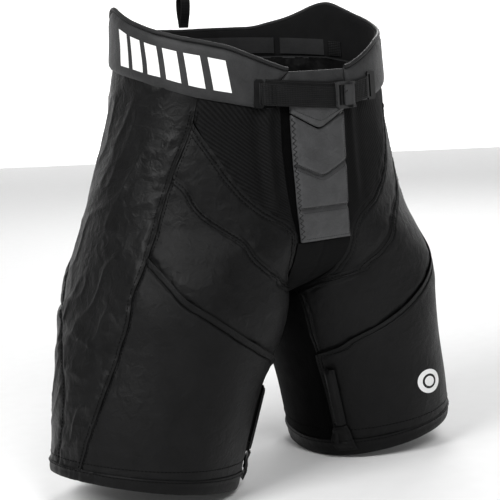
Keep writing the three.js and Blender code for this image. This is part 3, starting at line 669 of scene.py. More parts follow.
for half in ("right", "left"):
    panel("stretch_panel", half, 267, 440, lambda z: front_edge(half, z),
          lambda z: np.where(z > 419, side_seam(z), seam(THIGH_SEAM_HIGH, z)),
          STRETCH_KNIT, top=True, edges="r", relief=fly_side_fold)
    panel("upper_front_panel", half, 215, 419,
          lambda z: np.where(z > 267, seam(THIGH_SEAM_HIGH, z), seam(GUSSET_FRONT, z)),
          lambda z: np.where(z > 361, side_seam(z), seam(THIGH_SEAM_MID, z)),
          FRONT_NYLON, edges="lr", channels=(4.5, 9.5))
    panel("middle_front_panel", half, 116, 361,
          lambda z: np.where(z > 215, seam(THIGH_SEAM_MID, z),
                             np.where(z > 200, seam(GUSSET_FRONT, z), seam(INSEAM, z))),
          lambda z: np.where(z > 267, side_seam(z), seam(THIGH_SEAM_LOW, z)),
          FRONT_NYLON, relief=overlap_below, edges="lr",
          channels=(4.5, 9.5))
    panel("lower_front_panel", half, HEM_BAND_H, 267,
          lambda z: np.where(z > 116, seam(THIGH_SEAM_LOW, z), seam(INSEAM, z)), side_seam,
          FRONT_NYLON, relief=proud_edge, edges="r",
          channels=(7.0, 7.2))
    panel("side_panel", half, HEM_BAND_H, 440, side_seam, lambda z: np.full_like(z, REAR_SEAM),
          SIDE_NYLON, top=True, relief=hem_gather, edges="lr")
    panel("seat_panel", half, 200, 440, lambda z: np.full_like(z, REAR_SEAM), seat_edge,
          SIDE_NYLON, top=True, relief=side_creases, edges="lrb")
    panel("rear_leg_panel", half, HEM_BAND_H, 200, lambda z: np.full_like(z, REAR_SEAM),
          lambda z: np.full_like(z, BACK_INSEAM), SIDE_NYLON,
          relief=side_creases, edges="lrt")
    # The inner thigh takes the knit darkened as painted shade between the legs.
    panel("inner_thigh_panel", half, HEM_BAND_H, 200,
          lambda z: np.full_like(z, BACK_INSEAM - 360), lambda z: seam(INSEAM, z),
          SHADED_INNER_KNIT, edges="lr")


# ----------------------------------------------------------- lying on the cloth
class Surface:
    """The outer face of finished pieces, for laying seams, stitches and prints on it."""

    def __init__(self, objs):
        verts, faces, at = [], [], 0
        for obj in objs:
            verts += [v.co.copy() for v in obj.data.vertices]
            faces += [[at + i for i in p.vertices] for p in obj.data.polygons]
            at = len(verts)
        self.tree = BVHTree.FromPolygons(verts, faces)

    def cling(self, p, n, off=0.0, reach=16.0):
        """Points p (mm) moved along -n onto the surface, then off mm outwards again."""
        out = np.array(p, float)
        for i, (q, d) in enumerate(zip(p, n)):
            start = Vector((q + d * reach) * MM)
            hit, normal, _, _ = self.tree.ray_cast(start, Vector(-d), 2 * reach * MM)
            if hit is not None:
                out[i] = np.array(hit) / MM + d * off
        return out


def path_normals(half, angle, z):
    """Outward directions of the form at the given angles and heights."""
    a = body_point(half, angle, z, 10)
    b = body_point(half, angle, z, 0)
    n = a - b
    return n / np.linalg.norm(n, axis=-1, keepdims=True)


def curve_object(name, paths):
    data = bpy.data.curves.new(name, "CURVE")
    data.dimensions = "3D"
    for path in paths:
        spline = data.splines.new("POLY")
        spline.points.add(len(path) - 1)
        for point, co in zip(spline.points, path):
            point.co = (*(np.asarray(co) * MM), 1)
    return place_object(name, data)


def socket(group, name, kind, value=None, out=False):
    item = group.interface.new_socket(name, in_out="OUTPUT" if out else "INPUT", socket_type=kind)
    if value is not None:
        item.default_value = value
    return item.identifier


THREAD_SIZES = {"pitch": ("Stitch Pitch", 0.0032), "length": ("Stitch Length", 0.0024),
                "radius": ("Thread Radius", 0.0003)}


def thread_tree(name, sizes, result, lay):
    """A tree that lays thread along a line: named sizes in, real mesh with its material out."""
    group = bpy.data.node_groups.new(name, "GeometryNodeTree")
    ids = {"line": socket(group, "Line", "NodeSocketGeometry")}
    for key in sizes:
        ids[key] = socket(group, THREAD_SIZES[key][0], "NodeSocketFloat", THREAD_SIZES[key][1])
    ids["thread"] = socket(group, "Thread", "NodeSocketMaterial")
    socket(group, result, "NodeSocketGeometry", out=True)
    nodes, link = group.nodes, group.links.new
    start, end = nodes.new("NodeGroupInput"), nodes.new("NodeGroupOutput")
    shape = lay(nodes, link, start.outputs)
    for kind in ("RealizeInstances", "SetShadeSmooth", "SetMaterial"):
        node = nodes.new("GeometryNode" + kind)
        link(shape, node.inputs["Geometry"])
        shape = node.outputs["Geometry"]
    link(start.outputs["Thread"], node.inputs["Material"])
    link(shape, end.inputs[result])
    return group, ids


def even_stitches(nodes, link, given):
    """Each stitch is a short plump piece of thread."""
    points = nodes.new("GeometryNodeCurveToPoints")
    points.mode = "LENGTH"
    ball = nodes.new("GeometryNodeMeshUVSphere")
    for key, value in (("Segments", 6), ("Rings", 4), ("Radius", 1.0)):
        ball.inputs[key].default_value = value
    half_length = nodes.new("ShaderNodeMath")
    half_length.operation = "MULTIPLY"
    half_length.inputs[1].default_value = 0.5
    size = nodes.new("ShaderNodeCombineXYZ")
    shape = nodes.new("GeometryNodeTransform")
    copies = nodes.new("GeometryNodeInstanceOnPoints")
    link(given["Line"], points.inputs["Curve"])
    link(given["Stitch Pitch"], points.inputs["Length"])
    link(given["Stitch Length"], half_length.inputs[0])
    for axis, width in enumerate((given["Thread Radius"],) * 2 + (half_length.outputs[0],)):
        link(width, size.inputs[axis])
    link(ball.outputs["Mesh"], shape.inputs["Geometry"])
    link(size.outputs[0], shape.inputs["Scale"])
    link(points.outputs["Points"], copies.inputs["Points"])
    link(points.outputs["Rotation"], copies.inputs["Rotation"])
    link(shape.outputs["Geometry"], copies.inputs["Instance"])
    return copies.outputs["Instances"]


def unbroken_thread(nodes, link, given):
    """One thread all along the line, for zigzag rows."""
    circle = nodes.new("GeometryNodeCurvePrimitiveCircle")
    circle.inputs["Resolution"].default_value = 6
    sweep = nodes.new("GeometryNodeCurveToMesh")
    sweep.inputs["Fill Caps"].default_value = True
    link(given["Line"], sweep.inputs["Curve"])
    link(given["Thread Radius"], circle.inputs["Radius"])
    link(circle.outputs["Curve"], sweep.inputs["Profile Curve"])
    return sweep.outputs["Mesh"]


STITCH_ROW = thread_tree("stitch_row", ("pitch", "length", "radius"), "Stitches", even_stitches)
THREAD_LINE = thread_tree("thread_line", ("radius",), "Threads", unbroken_thread)


def sew(name, paths, body, pitch=4.4, length=3.3, radius=0.5, line=False):
    """Stitches along the given paths, made into one plain mesh that rides on a body."""
    holder = curve_object(name + "_line", paths)
    mod = holder.modifiers.new("rows", "NODES")
    mod.node_group, ids = THREAD_LINE if line else STITCH_ROW
    for key, value in (("pitch", pitch * MM), ("length", length * MM), ("radius", radius * MM),
                       ("thread", THREAD)):
        if key in ids:
            mod[ids[key]] = value
    bpy.context.view_layer.update()
    graph = bpy.context.evaluated_depsgraph_get()
    mesh = bpy.data.meshes.new_from_object(holder.evaluated_get(graph))
    mesh.name = name
    if not mesh.uv_layers:
        mesh.uv_layers.new(name="cloth")
    bpy.data.objects.remove(holder)
    return riding(name, mesh, body)


def tube(name, path, up, radius, material, sides, flat=1.0, ripple=0.0):
    """A closed rod along a path, mm, flattened along up by the given share."""
    tangent = np.gradient(path, axis=0)
    tangent /= np.linalg.norm(tangent, axis=1, keepdims=True)
    side = np.cross(tangent, up)
    side /= np.linalg.norm(side, axis=1, keepdims=True)
    high = np.cross(side, tangent)
    t = np.linspace(0, 2 * math.pi, sides, endpoint=False)
    around = side[:, None] * np.cos(t)[None, :, None] + high[:, None] * (
        np.sin(t)[None, :, None] * flat)
    r = radius * (1 + ripple * soft_noise(path, 7.0))
    ring = path[:, None] + around * r[:, None, None]
    d = run_lengths(path)
    verts = ring.reshape(-1, 3).tolist() + [path[0].tolist(), path[-1].tolist()]
    uv = [(c / sides * 2 * math.pi * radius, s) for s in d for c in range(sides)]
    uv += [(0, 0), (0, d[-1])]
    faces = []
    rows = len(path)
    for j in range(rows - 1):
        for i in range(sides):
            k = (i + 1) % sides
            faces.append((j * sides + i, j * sides + k, (j + 1) * sides + k, (j + 1) * sides + i))
    first, last = rows * sides, rows * sides + 1
    for i in range(sides):
        k = (i + 1) % sides
        faces.append((first, k, i))
        faces.append((last, (rows - 1) * sides + i, (rows - 1) * sides + k))
    return make_object(name, verts, faces, uv, material, "shell")


PLATE_RIM = 1.2       # how far in from the edge a plate comes to its full thickness, mm


def soft_plate(name, corners, thickness, place, material, body, step=2.0, bulge=0.0,
               bend=None):
    """A cut piece of flat cloth in a local frame: corners are (across, up), rounded rim."""
    origin, across, out, up = [np.asarray(v, float) for v in place]
    corners = np.asarray(corners, float)
    area = 0.5 * sum(corners[i - 1][0] * corners[i][1] - corners[i][0] * corners[i - 1][1]
                     for i in range(len(corners)))
    if area < 0:
        corners = corners[::-1]
    loop = []
    for i, (a, b) in enumerate(zip(corners, np.roll(corners, -1, 0))):
        count = max(2, int(np.linalg.norm(b - a) / step))
        for k in range(count):
            loop.append(a + (b - a) * k / count)
    loop = np.array(loop)
    centre = corners.mean(0)
    reach = np.linalg.norm(loop - centre, axis=1).max()
    shrink = [0.0] + [min(1.0, s) for s in np.linspace(0, 1, max(5, int(reach / step)))[1:-1]]
    sheet_rows = [loop + (centre - loop) * s for s in shrink]
    verts, uv, faces = [], [], []
    n = len(loop)

    def put(q, side, near):
        swell = bulge * min(1.0, near / 6.0)
        edge = thickness / 2 * (1 - math.exp(-(near + 0.35) / PLATE_RIM))
        y = thickness / 2 + (edge if side else -edge) + (swell if side else 0)
        y += bend(q[0], q[1]) if bend else 0.0
        verts.append(origin + across * q[0] + out * y + up * q[1])
        uv.append(q)
    for side in (1, 0):
        for row, s in zip(sheet_rows, shrink):
            for q, base in zip(row, loop):
                put(q, side, s * np.linalg.norm(base - centre) * 0.7)
        put(centre, side, 99)
    rows = len(sheet_rows)
    block = rows * n + 1
    for side in (0, 1):
        o = block * side
        for j in range(rows - 1):
            for i in range(n):
                k = (i + 1) % n
                f = (o + j * n + i, o + j * n + k, o + (j + 1) * n + k, o + (j + 1) * n + i)
                faces.append(f[::-1] if side else f)
        for i in range(n):
            k = (i + 1) % n
            f = (o + (rows - 1) * n + i, o + (rows - 1) * n + k, o + rows * n)
            faces.append(f[::-1] if side else f)
    for i in range(n):
        k = (i + 1) % n
        faces.append((i, block + i, block + k, k))
    return make_object(name, verts, faces, uv, material, body)


SWELL = {"use_pressure": True, "uniform_pressure_force": 3.5, "tension_stiffness": 30,
         "compression_stiffness": 8, "bending_stiffness": 0.3, "quality": 6, "mass": 0.2,
         "vertex_group_mass": "sewn"}
SWELL_FRAMES = 18
SWELL_MOST = 1.6       # mm
PINNED = 4.0           # mm of each edge that is held down


def puff(obj, sewn):
    """Lets a padded piece swell against its sewn-down edges."""
    rest = np.array([v.co for v in obj.data.vertices])
    held = obj.vertex_groups.new(name="sewn")
    held.add(np.flatnonzero(sewn).tolist(), 1.0, "REPLACE")
    scene = bpy.context.scene
    cloth = obj.modifiers.new("swell", "CLOTH")
    for key, value in SWELL.items():
        setattr(cloth.settings, key, value)
    cloth.settings.effector_weights.gravity = 0
    cloth.collision_settings.use_collision = False
    cloth.point_cache.frame_start, cloth.point_cache.frame_end = 1, SWELL_FRAMES
    for f in range(1, SWELL_FRAMES + 1):
        scene.frame_set(f)
    graph = bpy.context.evaluated_depsgraph_get()
    moved = np.array([v.co for v in obj.evaluated_get(graph).data.vertices])
    obj.modifiers.remove(cloth)
    scene.frame_set(1)
    step = moved - rest
    size = np.linalg.norm(step, axis=1, keepdims=True)
    step *= np.minimum(1.0, SWELL_MOST * MM / np.maximum(size, 1e-9))
    obj.data.vertices.foreach_set("co", (rest + step).astype(np.float32).ravel())
    obj.data.update()


def edge_distance(p):
    """Distance of each grid point from the grid's nearest edge."""
    return np.min([line_distance(p, side) for side in (p[:, 0], p[:, -1], p[0], p[-1])], axis=0)


def pad_piece(name, inner, outer, material, body="shell", edge=1.4, soft=3.2,
              wrinkle=0.35, groove=1.0):
    """A padded piece: full in the middle and drawn down to its seams."""
    thick = np.linalg.norm(outer - inner, axis=-1)
    way = (outer - inner) / np.maximum(thick, 1e-6)[..., None]
    near = edge_distance(outer)
    full = (edge + (thick + 0.5 - edge) * (1 - np.exp(-near / soft))) * groove
    full = full + soft_noise(outer + 77, (16, 16, 10)) * wrinkle * np.exp(-((near - 5) / 6) ** 2)
    full = full + soft_noise(outer + 31, (34, 34, 24)) * 0.6 * (1 - np.exp(-near / 6))
    top = inner + way * full[..., None]
    obj = slab_piece(name, top, inner, arc_map(outer), material, body)
    puff(obj, np.concatenate([(near < PINNED).ravel(), np.full(near.size, True)]))
    return obj


# ------------------------------------------------------------- cloth of the legs
def hem_ring(half):
    """The turned hem all round the leg: a doubled band drawn in by its elastic at the side."""
    a = np.linspace(BACK_INSEAM - 360, BACK_INSEAM, 300, endpoint=False)
    v = np.linspace(0, 1, 9)[:, None]
    z = HEM_BAND_H * v * np.ones_like(a)
    p = body_point(half, a, z, 0.0)
    n = outward(p, grid_normals(p, wrap=True))
    side = np.exp(-((((a + 180) % 360 - 180) - 98) / 26) ** 2)
    gather = creases(p, (7, 7, 60)) * 1.5 * side
    loose = soft_noise(p + 300, (30, 30, 60)) * 1.0
    roll = 1.1 * np.exp(-((z - 14.5) / 2.5) ** 2) - 0.9 * np.exp(-(z / 2.5) ** 2)
    outer = p + n * (CLOTH * 1.5 + gather + loose + roll)[..., None]
    inner = p + n * (gather + loose - 0.9)[..., None]
    return slab_piece(f"hem_band_{half}_cloth", outer, inner, arc_map(p), HEM_NYLON,
                      wrap=True)


def gusset():
    """The knit gusset between the legs, from the front point to the back seam."""
    line = [(seam(GUSSET_FRONT, z), z) for z in (267, 258, 249, 240, 232, 224, 215, 207, 200)]
    line += [(inseam_back(z), z) for z in (200, 204, 208, 212)]
    line += [(angle_at(z, along(GUSSET_BACK_X, z), 90, 270), z)
             for z in (215, 223, 232, 240, 249, 258, 267, 276, 285, 293, 298)]
    points = [body_point("right", float(a), float(z), 0.3) - SHIFT for a, z in line]
    rail = resample(np.array(points), 3.6)
    across = np.linspace(-1, 1, 40)
    half_width = np.maximum(-rail[:, 0] - 0.6, 0.6)[:, None]
    x = half_width * across
    sag = 0.1 * half_width * (1 - across ** 2) * np.where(rail[:, 2] < 240, 1, 0.3)[:, None]
    y = np.repeat(rail[:, 1][:, None], 40, 1)
    z = rail[:, 2][:, None] - sag
    p = np.stack([x, y, z], -1) + SHIFT
    n = grid_normals(p)
    n *= np.sign((n[len(n) // 8, 20, 1]) * -1)
    lift = soft_noise(p, (30, 30, 30)) * 0.8 - 0.4
    seam_line = np.exp(-(np.abs(x) / 2.2) ** 2) * -0.9
    outer = p + n * (lift + seam_line)[..., None]
    return slab_piece("crotch_gusset_cloth", outer, outer - n * CLOTH, arc_map(p), GUSSET_KNIT)


for half in ("right", "left"):
    hem_ring(half)
gusset()
cloth_pieces = [o for o in bpy.context.scene.objects if o.name.endswith("_cloth")]
CLOTH_FACE = Surface(cloth_pieces)


def cling_line(half, angle, z, off, step=2.5):
    """A line of the form laid on the finished cloth."""
    angle, z = np.broadcast_arrays(np.asarray(angle, float), np.asarray(z, float))
    p = body_point(half, angle, z, CLOTH)
    n = path_normals(half, angle, z)
    both = resample(p, step)
    d = run_lengths(p)
    at = np.linspace(0, d[-1], len(both))
    ways = np.stack([np.interp(at, d, n[:, k]) for k in range(3)], -1)
    ways /= np.linalg.norm(ways, axis=1, keepdims=True)
    return CLOTH_FACE.cling(both, ways, off), ways


PIPING_R = 1.0


def side_pipings():
    """A thin round cord sewn into each side seam."""
    for half in ("right", "left"):
        z = np.linspace(HEM_BAND_H - 2, 456, 260)
        path, ways = cling_line(half, side_seam(z), z, 0.45)
        path = path + ways * soft_noise(path, 6.0)[:, None] * 0.25
        tube(f"side_piping_{half}_cord", path, ways, PIPING_R, SIDE_NYLON, 10, ripple=0.15)


def seam_stitches():
    """Twin rows beside each thigh seam, and single rows at the other seams and the hem."""
    for half in ("right", "left"):
        rows = list(ROWS[half])
        for table, top, beside in ((SIDE_SEAM, 430, -1.6), (SIDE_SEAM, 430, 1.6),
                                   (INSEAM, 196, 1.6)):
            z = np.linspace(20, top, 120)
            rows.append(cling_line(half, seam(table, z) + beside, z, 0.12)[0])
        rows.append(cling_line(half, REAR_SEAM + 1.4, np.linspace(20, 436, 150), 0.12)[0])
        a = np.linspace(BACK_INSEAM - 358, BACK_INSEAM - 2, 300)
        for height, off in ((14.2, 0.15), (27.0, 0.12)):
            rows.append(cling_line(half, a, height, off)[0])
        sew(f"seam_stitches_{half}", rows, "shell")


side_pipings()
seam_stitches()


# ------------------------------------------------------------------------- belt
BELT_INNER, BELT_OUTER = 0.5, 5.4
BACK_REACH = 33.0       # degrees of the belt's back length, either side of the centre


GRID_STEP = 3.4


def belt_grid(half, end, low_lift=0.0, high_lift=0.0):
    """Angles and heights over one side of the belt, from its slanted front end."""
    low_a, high_a = BELT_END[half]
    cols, rows = int(abs(end - low_a) * 3.1 / GRID_STEP) + 2, int(62 / GRID_STEP)
    u, v = np.meshgrid(np.linspace(0, 1, cols), np.linspace(0, 1, rows))
    from_a = low_a + (high_a - low_a) * v
    a = from_a + (end - from_a) * u
    low, high = along(BELT_BOTTOM, a) + low_lift, along(BELT_TOP, a) + high_lift
    return a, low + (high - low) * v


def back_grid(reach, low_table, high_table, low_lift=0.0, high_lift=0.0):
    """Points, by distance out, over a length that runs across the centre of the back."""
    cols, rows = int(2 * reach * 2.4 / GRID_STEP), int(44 / GRID_STEP)
    u, v = np.meshgrid(np.linspace(-1, 1, cols), np.linspace(0, 1, rows))
    a = 180 - np.abs(u) * reach
    low, high = along(low_table, a) + low_lift, along(high_table, a) + high_lift
    z = low + (high - low) * v
    return lambda off: np.where((u < 0)[..., None], body_point("right", a, z, off),
                                body_point("left", a, z, off))


def belt_lengths():
    """The padded belt: two sides, each with its lining, and the back."""
    made = []
    for half in ("right", "left"):
        a, z = belt_grid(half, 146.98)
        made.append(pad_piece(f"belt_{half}_pad", body_point(half, a, z, BELT_INNER),
                              body_point(half, a, z, BELT_OUTER), BELT_NYLON,
                              edge=1.7, wrinkle=0.5))
        lining(half)
    back = back_grid(BACK_REACH, BELT_BOTTOM, BELT_TOP)
    made.append(pad_piece("belt_back_pad", back(BELT_INNER), back(BELT_OUTER), BELT_NYLON,
                          edge=2.2, wrinkle=0.5))
    return made


def declare_sheet(obj, held, *rests):
    area = sum(p.area for p in obj.data.polygons) / 2
    layer = obj.data.uv_layers["cloth"].data
    uv = np.zeros(len(layer) * 2, np.float32)
    layer.foreach_get("uv", uv)
    width, length = [round(float(max(side, 0.0101)), 4) for side in np.ptp(uv.reshape(-1, 2), 0)]
    area = min(max(area, 0.31 * width * length), width * length)


def lining_slab(name, grid_of, off, thick, material, rests, quilt):
    """A soft inner layer seen through the waist, lying inside the belt."""
    outer, inner = grid_of(off), grid_of(off - thick)
    way = (outer - inner) / np.linalg.norm(outer - inner, axis=-1, keepdims=True)
    near = edge_distance(outer)
    swell = soft_noise(outer + 11, (22, 22, 18)) * 0.45 * (1 - np.exp(-near / 5))
    swell = swell + quilt * (1 - np.exp(-near / 3))
    obj = slab_piece(name, outer, inner - way * swell[..., None], arc_map(outer), material)
    declare_sheet(obj, "hung", rests)


def lining(half):
    """The lining of one side of the belt, with its patch and its webbing keeper."""
    a, z = belt_grid(half, 147.05, 4, 0.4)
    lining_slab(f"belt_lining_{half}_cloth", lambda off: body_point(half, a, z, off), 0.15,
                CLOTH, LINING_CLOTH, f"belt_{half}", 0.9)
    u, v = np.meshgrid(np.linspace(0, 1, 24), np.linspace(0, 1, 10))
    for name, start, wide, tall, thick, material, slot, quilt in (
            (f"lining_patch_{half}_cloth", 110, 24, 20, 0.8, PATCH_CLOTH, "belt_nylon", 0.5),
            (f"inner_keeper_{half}_webbing", 98, 9, 18, 1.4, WEBBING, "webbing", 0.3)):
        aa, zz = start + wide * u, 471 + tall * v
        lining_slab(name, lambda off: body_point(half, aa, zz, off), -2.1, thick, material,
                    f"belt_lining_{half}", quilt)


def back_lining():
    lining_slab("belt_lining_back_cloth", back_grid(BACK_REACH, BELT_BOTTOM, BELT_TOP, 4, 0.4),
                0.15, CLOTH, LINING_CLOTH, "belt_back", 0.9)
    lining_slab("lining_patch_back_cloth", back_grid(43, [[0, 471]], [[0, 491]]), -2.1, 0.8,
                PATCH_CLOTH, "belt_lining_back", 0.5)


def binding():
    """Tape folded over the top edge of the belt, all the way round."""
    path, ways = [], []
    for half in ("right", "left"):
        a = np.linspace(BELT_END[half][1], 180, 300)
        z = along(BELT_TOP, a)
        z = np.convolve(np.pad(z, 6, mode="edge"), np.ones(13) / 13, "valid") + 1.9
        p, n = body_point(half, a, z, 2.75), path_normals(half, a, z)
        if half == "left":
            p, n = p[::-1][1:], n[::-1][1:]
        path.append(p)
        ways.append(n)
    path, ways = np.concatenate(path), np.concatenate(ways)
    path = path + ways * soft_noise(path, 14.0)[:, None] * 0.3
    tube("belt_binding_tape", path, ways, 2.6, BINDING_TAPE, 16, flat=0.85, ripple=0.06)
    row = resample(path + ways * 2.35 + np.array([0, 0, -1.6]), 1.5)
    sew("binding_stitches", [row], "shell", radius=0.28, pitch=2.8, length=2.0)


belt_pads = belt_lengths()
back_lining()
binding()
BELT_FACE = Surface(belt_pads)


# Plain marks printed on the belt and on the lower leg: slanted bars and a ringed dot.
def printed(name, half, off, face, lift, patches, wrap=False):
    """Marks printed on finished cloth: each patch is its angles, its heights and its map."""
    verts, faces, uv, base = [], [], [], 0
    for angle, z, flat in patches:
        p = body_point(half, angle, z, off).reshape(-1, 3)
        n = path_normals(half, angle.ravel(), z.ravel())
        for height in (lift, -0.2):
            verts.append(face.cling(p, n, height))
            uv.append(flat.reshape(-1, 2))
        faces += [tuple(base + i for i in f) for f in slab_faces(*angle.shape, wrap)]
        base += 2 * angle.size
    make_object(name, np.concatenate(verts), faces, np.concatenate(uv), PRINT_WHITE, "shell")


def belt_marks():
    """Six slanted bars along the wearer's right side of the belt."""
    across, up = np.meshgrid(np.linspace(0, 7.0, 12), np.linspace(0, 1, 12))
    patches = []
    for k in range(6):
        angle = 37.5 + k * 10.2 + across + up * 2.6
        low, high = along(BELT_BOTTOM, angle) + 12, along(BELT_TOP, angle) - 13
        patches.append((angle, low + (high - low) * up, np.stack([across * 3, up * 20], -1)))
    printed("belt_bar_print", "right", BELT_OUTER, BELT_FACE, 0.28, patches)


def leg_mark():
    """A dot in a ring, low on the front of the wearer's left leg."""
    patches = []
    for inner, outer in ((0.01, 0.42), (0.62, 1.0)):
        t, r = np.meshgrid(np.linspace(0, 2 * math.pi, 40, endpoint=False),
                           np.linspace(inner, outer, 6))
        angle, z = 33 + 11.0 * r * np.cos(t), 69 + 16 * r * np.sin(t)
        patches.append((angle, z, np.stack([(angle - 33) * 3, z], -1)))
    printed("leg_dot_print", "left", CLOTH, CLOTH_FACE, 0.25, patches, wrap=True)


belt_marks()
leg_mark()


# -------------------------------------------------------------------------- fly
FLY_ROWS = [[268, 0], [312, 0], [340, 12], [364, 19], [372, 19], [400, 20], [427.8, 20]]
FLY_T = 3.6


def dipped(at, deep, u):
    """Heights of a line across the fly that dips to a soft point in its middle."""
    return at - deep * (1 - (np.sqrt(u * u + 0.012) - 0.11))


def fly_grid(depths, low, high):
    s, u = np.linspace(low, high, int((high - low) / 2.6) + 2)[:, None], np.linspace(-1, 1, 40)
    z = dipped(s, along(depths, s), u[None])
    right, left = along(FLY_RIGHT, z) + 0.2, along(FLY_LEFT, z) - 0.2
    return right + (left - right) * (u + 1) / 2, z, s


def fly_pieces():
    """The padded flap with its two sewn grooves, and the fixed top part over it."""
    x, z, s = fly_grid(FLY_ROWS, 268, 427.8)
    groove = 1 - 0.8 * np.exp(-((s - 308) / 2.8) ** 2) - 0.85 * np.exp(-((s - 368) / 3.2) ** 2)
    flap = pad_piece("fly_flap_pad", front_point(x, z, 0.6), front_point(x, z, 1.8 + FLY_T),
                     FLY_CLOTH, "fly", edge=2.6, soft=2.2, wrinkle=0.3,
                     groove=groove)
    x, z, _ = fly_grid([[429.9, 20], [440, 10], [458, 0]], 429.9, 458)
    top = pad_piece("fly_top_pad", front_point(x, z, 0.6), front_point(x, z, 1.4 + FLY_T),
                    FLY_CLOTH, edge=2.4, soft=2.2, wrinkle=0.3)
    return flap, top


FLY_FACE = Surface(fly_pieces())


def on_fly(x, z):
    """A row of thread laid on the finished fly."""
    p = front_point(x, z, 4.0)
    n = front_point(x, z, 8.0) - p
    n /= np.linalg.norm(n, axis=-1, keepdims=True)
    return FLY_FACE.cling(p, n, 0.1)


def fly_row(at, deep, reach):
    """A row of thread across the fly, dipping to its point."""
    u = np.linspace(-reach, reach, 40)
    z = dipped(at, deep, u)
    right, left = along(FLY_RIGHT, z), along(FLY_LEFT, z)
    return on_fly(right + (left - right) * (u + 1) / 2, z)


def fly_stitches():
    z = np.linspace(272, 424, 46)
    zigzag = along(FLY_RIGHT, z) + 1.4 + 2.0 * np.where(np.arange(len(z)) % 2, 1, -1)
    sew("fly_zigzag", [on_fly(zigzag, z)], "fly", radius=0.5, line=True)
    rows = [fly_row(at, along(FLY_ROWS, at), 0.9) for at in (304.5, 311.5, 364.5, 371.5)]
    z = np.linspace(272, 424, 60)
    rows.append(on_fly(along(FLY_LEFT, z) - 3.2, z))
    x = np.linspace(-31, 33, 30)
    rows.append(on_fly(x, np.full_like(x, 271.5)))
    sew("fly_stitches", rows, "fly", pitch=2.8, length=2.1, radius=0.3)
    rows = [fly_row(at, deep, 0.88) for at, deep in ((434, 16), (455, 0))]
    sew("fly_top_stitches", rows, "shell", pitch=2.8, length=2.1, radius=0.3)


fly_stitches()


def grid_xz(x0, x1, z0, z1, cols, rows):
    return np.meshgrid(np.linspace(x0, x1, cols), np.linspace(z0, z1, rows))


def flat_layer(name, x, z, off, thick, material, rests, body="shell", ripple=0.05):
    """A flat layer of the fly, at its distance behind or before the form's front."""
    base, top = front_point(x, z, off), front_point(x, z, off + thick)
    near = edge_distance(top)
    lift = soft_noise(base + 5, (15, 15, 15)) * ripple * (1 - np.exp(-near / 4))
    shift = (top - base) / thick * lift[..., None]
    obj = slab_piece(name, top + shift, base + shift, arc_map(top), material, body)
    declare_sheet(obj, "hung", rests)


def fly_hidden_pieces():
    """The two strips that hold the fly shut, and the cloth behind them."""
    x, z = grid_xz(-38, -22, 300, 404, 9, 50)
    flat_layer("fly_hook_strip_cloth", x, z, -0.2, 0.45, PATCH_CLOTH,
               "fly_flap", "fly")
    x, z = grid_xz(-40, -20, 296, 408, 11, 54)
    flat_layer("fly_loop_strip_cloth", x, z, -1.2, 0.65, LINING_CLOTH,
               "fly_underlap")
    u, z = grid_xz(0, 1, 272, 454, 40, 70)
    right = np.maximum(-62, along(FLY_RIGHT, z) - 16) + np.where(z < 300, 8 * (300 - z) / 28, 0)
    x = right + (along(FLY_LEFT, z) - 4 - right) * u
    # The underlap behind the fly takes the knit darkened as painted shade in its recess.
    flat_layer("fly_underlap_cloth", x, z, -2.75, CLOTH, SHADED_INNER_KNIT,
               "stretch_panel_right", ripple=0.1)


fly_hidden_pieces()


def band():
    """The flat top band behind the strap, joining the two ends of the belt."""
    u, z = grid_xz(0, 1, 458.5, 474, 60, 12)
    ends = {}
    for half, (low, high) in BELT_END.items():
        a = low + (high - low) * (z - along(BELT_BOTTOM, 20)) / 39
        ends[half] = (body_point(half, a - 0.3, z) - SHIFT)[..., 0]
    x = ends["right"] + (ends["left"] - ends["right"]) * u
    pad_piece("front_band_pad", front_point(x, z, 0.6), front_point(x, z, 3.0), BELT_NYLON,
              edge=1.2, soft=2.0, wrinkle=0.2)


band()


# ------------------------------------------------------------- strap and buckle
WEBBING_W, WEBBING_T, STRAP_OFF = 25.0, 1.6, 7.2
RIB_PITCH = 2.1       # of the webbing's ribs


def webbing_strap(name, x0, x1, off, thick, lift=0.0, dive_start=0.0, dive_end=0.0):
    """A length of webbing across the front, its ends diving down into their slots."""
    x, v = grid_xz(x0, x1, -0.5, 0.5, int((x1 - x0) / 1.4), 17)
    z = along(STRAP_LINE, x) + lift + v * WEBBING_W
    drop = dive_start * np.exp(-((x - x0) / 3.0) ** 2) + dive_end * np.exp(-((x - x1) / 3.0) ** 2)
    ribs = 0.09 * np.sin(v * WEBBING_W * 2 * math.pi / RIB_PITCH)
    rim = 0.5 * np.exp(-((0.5 - np.abs(v)) * WEBBING_W / 0.8) ** 2)
    wave = soft_noise(front_point(x, z, off), (24, 24, 60)) * 0.35
    top = front_point(x, z, off + thick - drop - rim + ribs + wave)
    low = front_point(x, z, off - drop + rim * 0.6 + wave)
    obj = slab_piece(name, top, low, arc_map(top), WEBBING)
    declare_sheet(obj, "stretched", "slot_frame_right", "slot_frame_left")


webbing_strap("strap_long_webbing", -82.0, 19.6, STRAP_OFF, WEBBING_T, 0, 1.6, 0.5)
webbing_strap("strap_return_webbing", -76.0, 19.5, 5.45, 1.3, 4)
webbing_strap("strap_short_webbing", 44.6, 83.0, STRAP_OFF, WEBBING_T, 0, 0.5, 1.4)


def strap_stitches():
    rows = []
    for x in (-70.0, -66.0, 50.0, 74.0):
        z = along(STRAP_LINE, x) + np.linspace(-9, 9, 12)
        rows.append(front_point(np.full_like(z, x), z, STRAP_OFF + WEBBING_T + 0.1))
    sew("strap_stitches", rows, "shell", pitch=2.2, length=1.7, radius=0.34)


strap_stitches()

HARD = {"buckle_frame": 0.7, "buckle_lever": 0.6, "buckle_pin": 0.25}       # edge radii, mm
for half in ("right", "left"):
    HARD.update({f"slot_frame_{half}": 0.8, f"zipper_slider_{half}": 0.3,
                 f"zipper_pull_{half}": 0.3, f"zipper_teeth_{half}": 0.15})


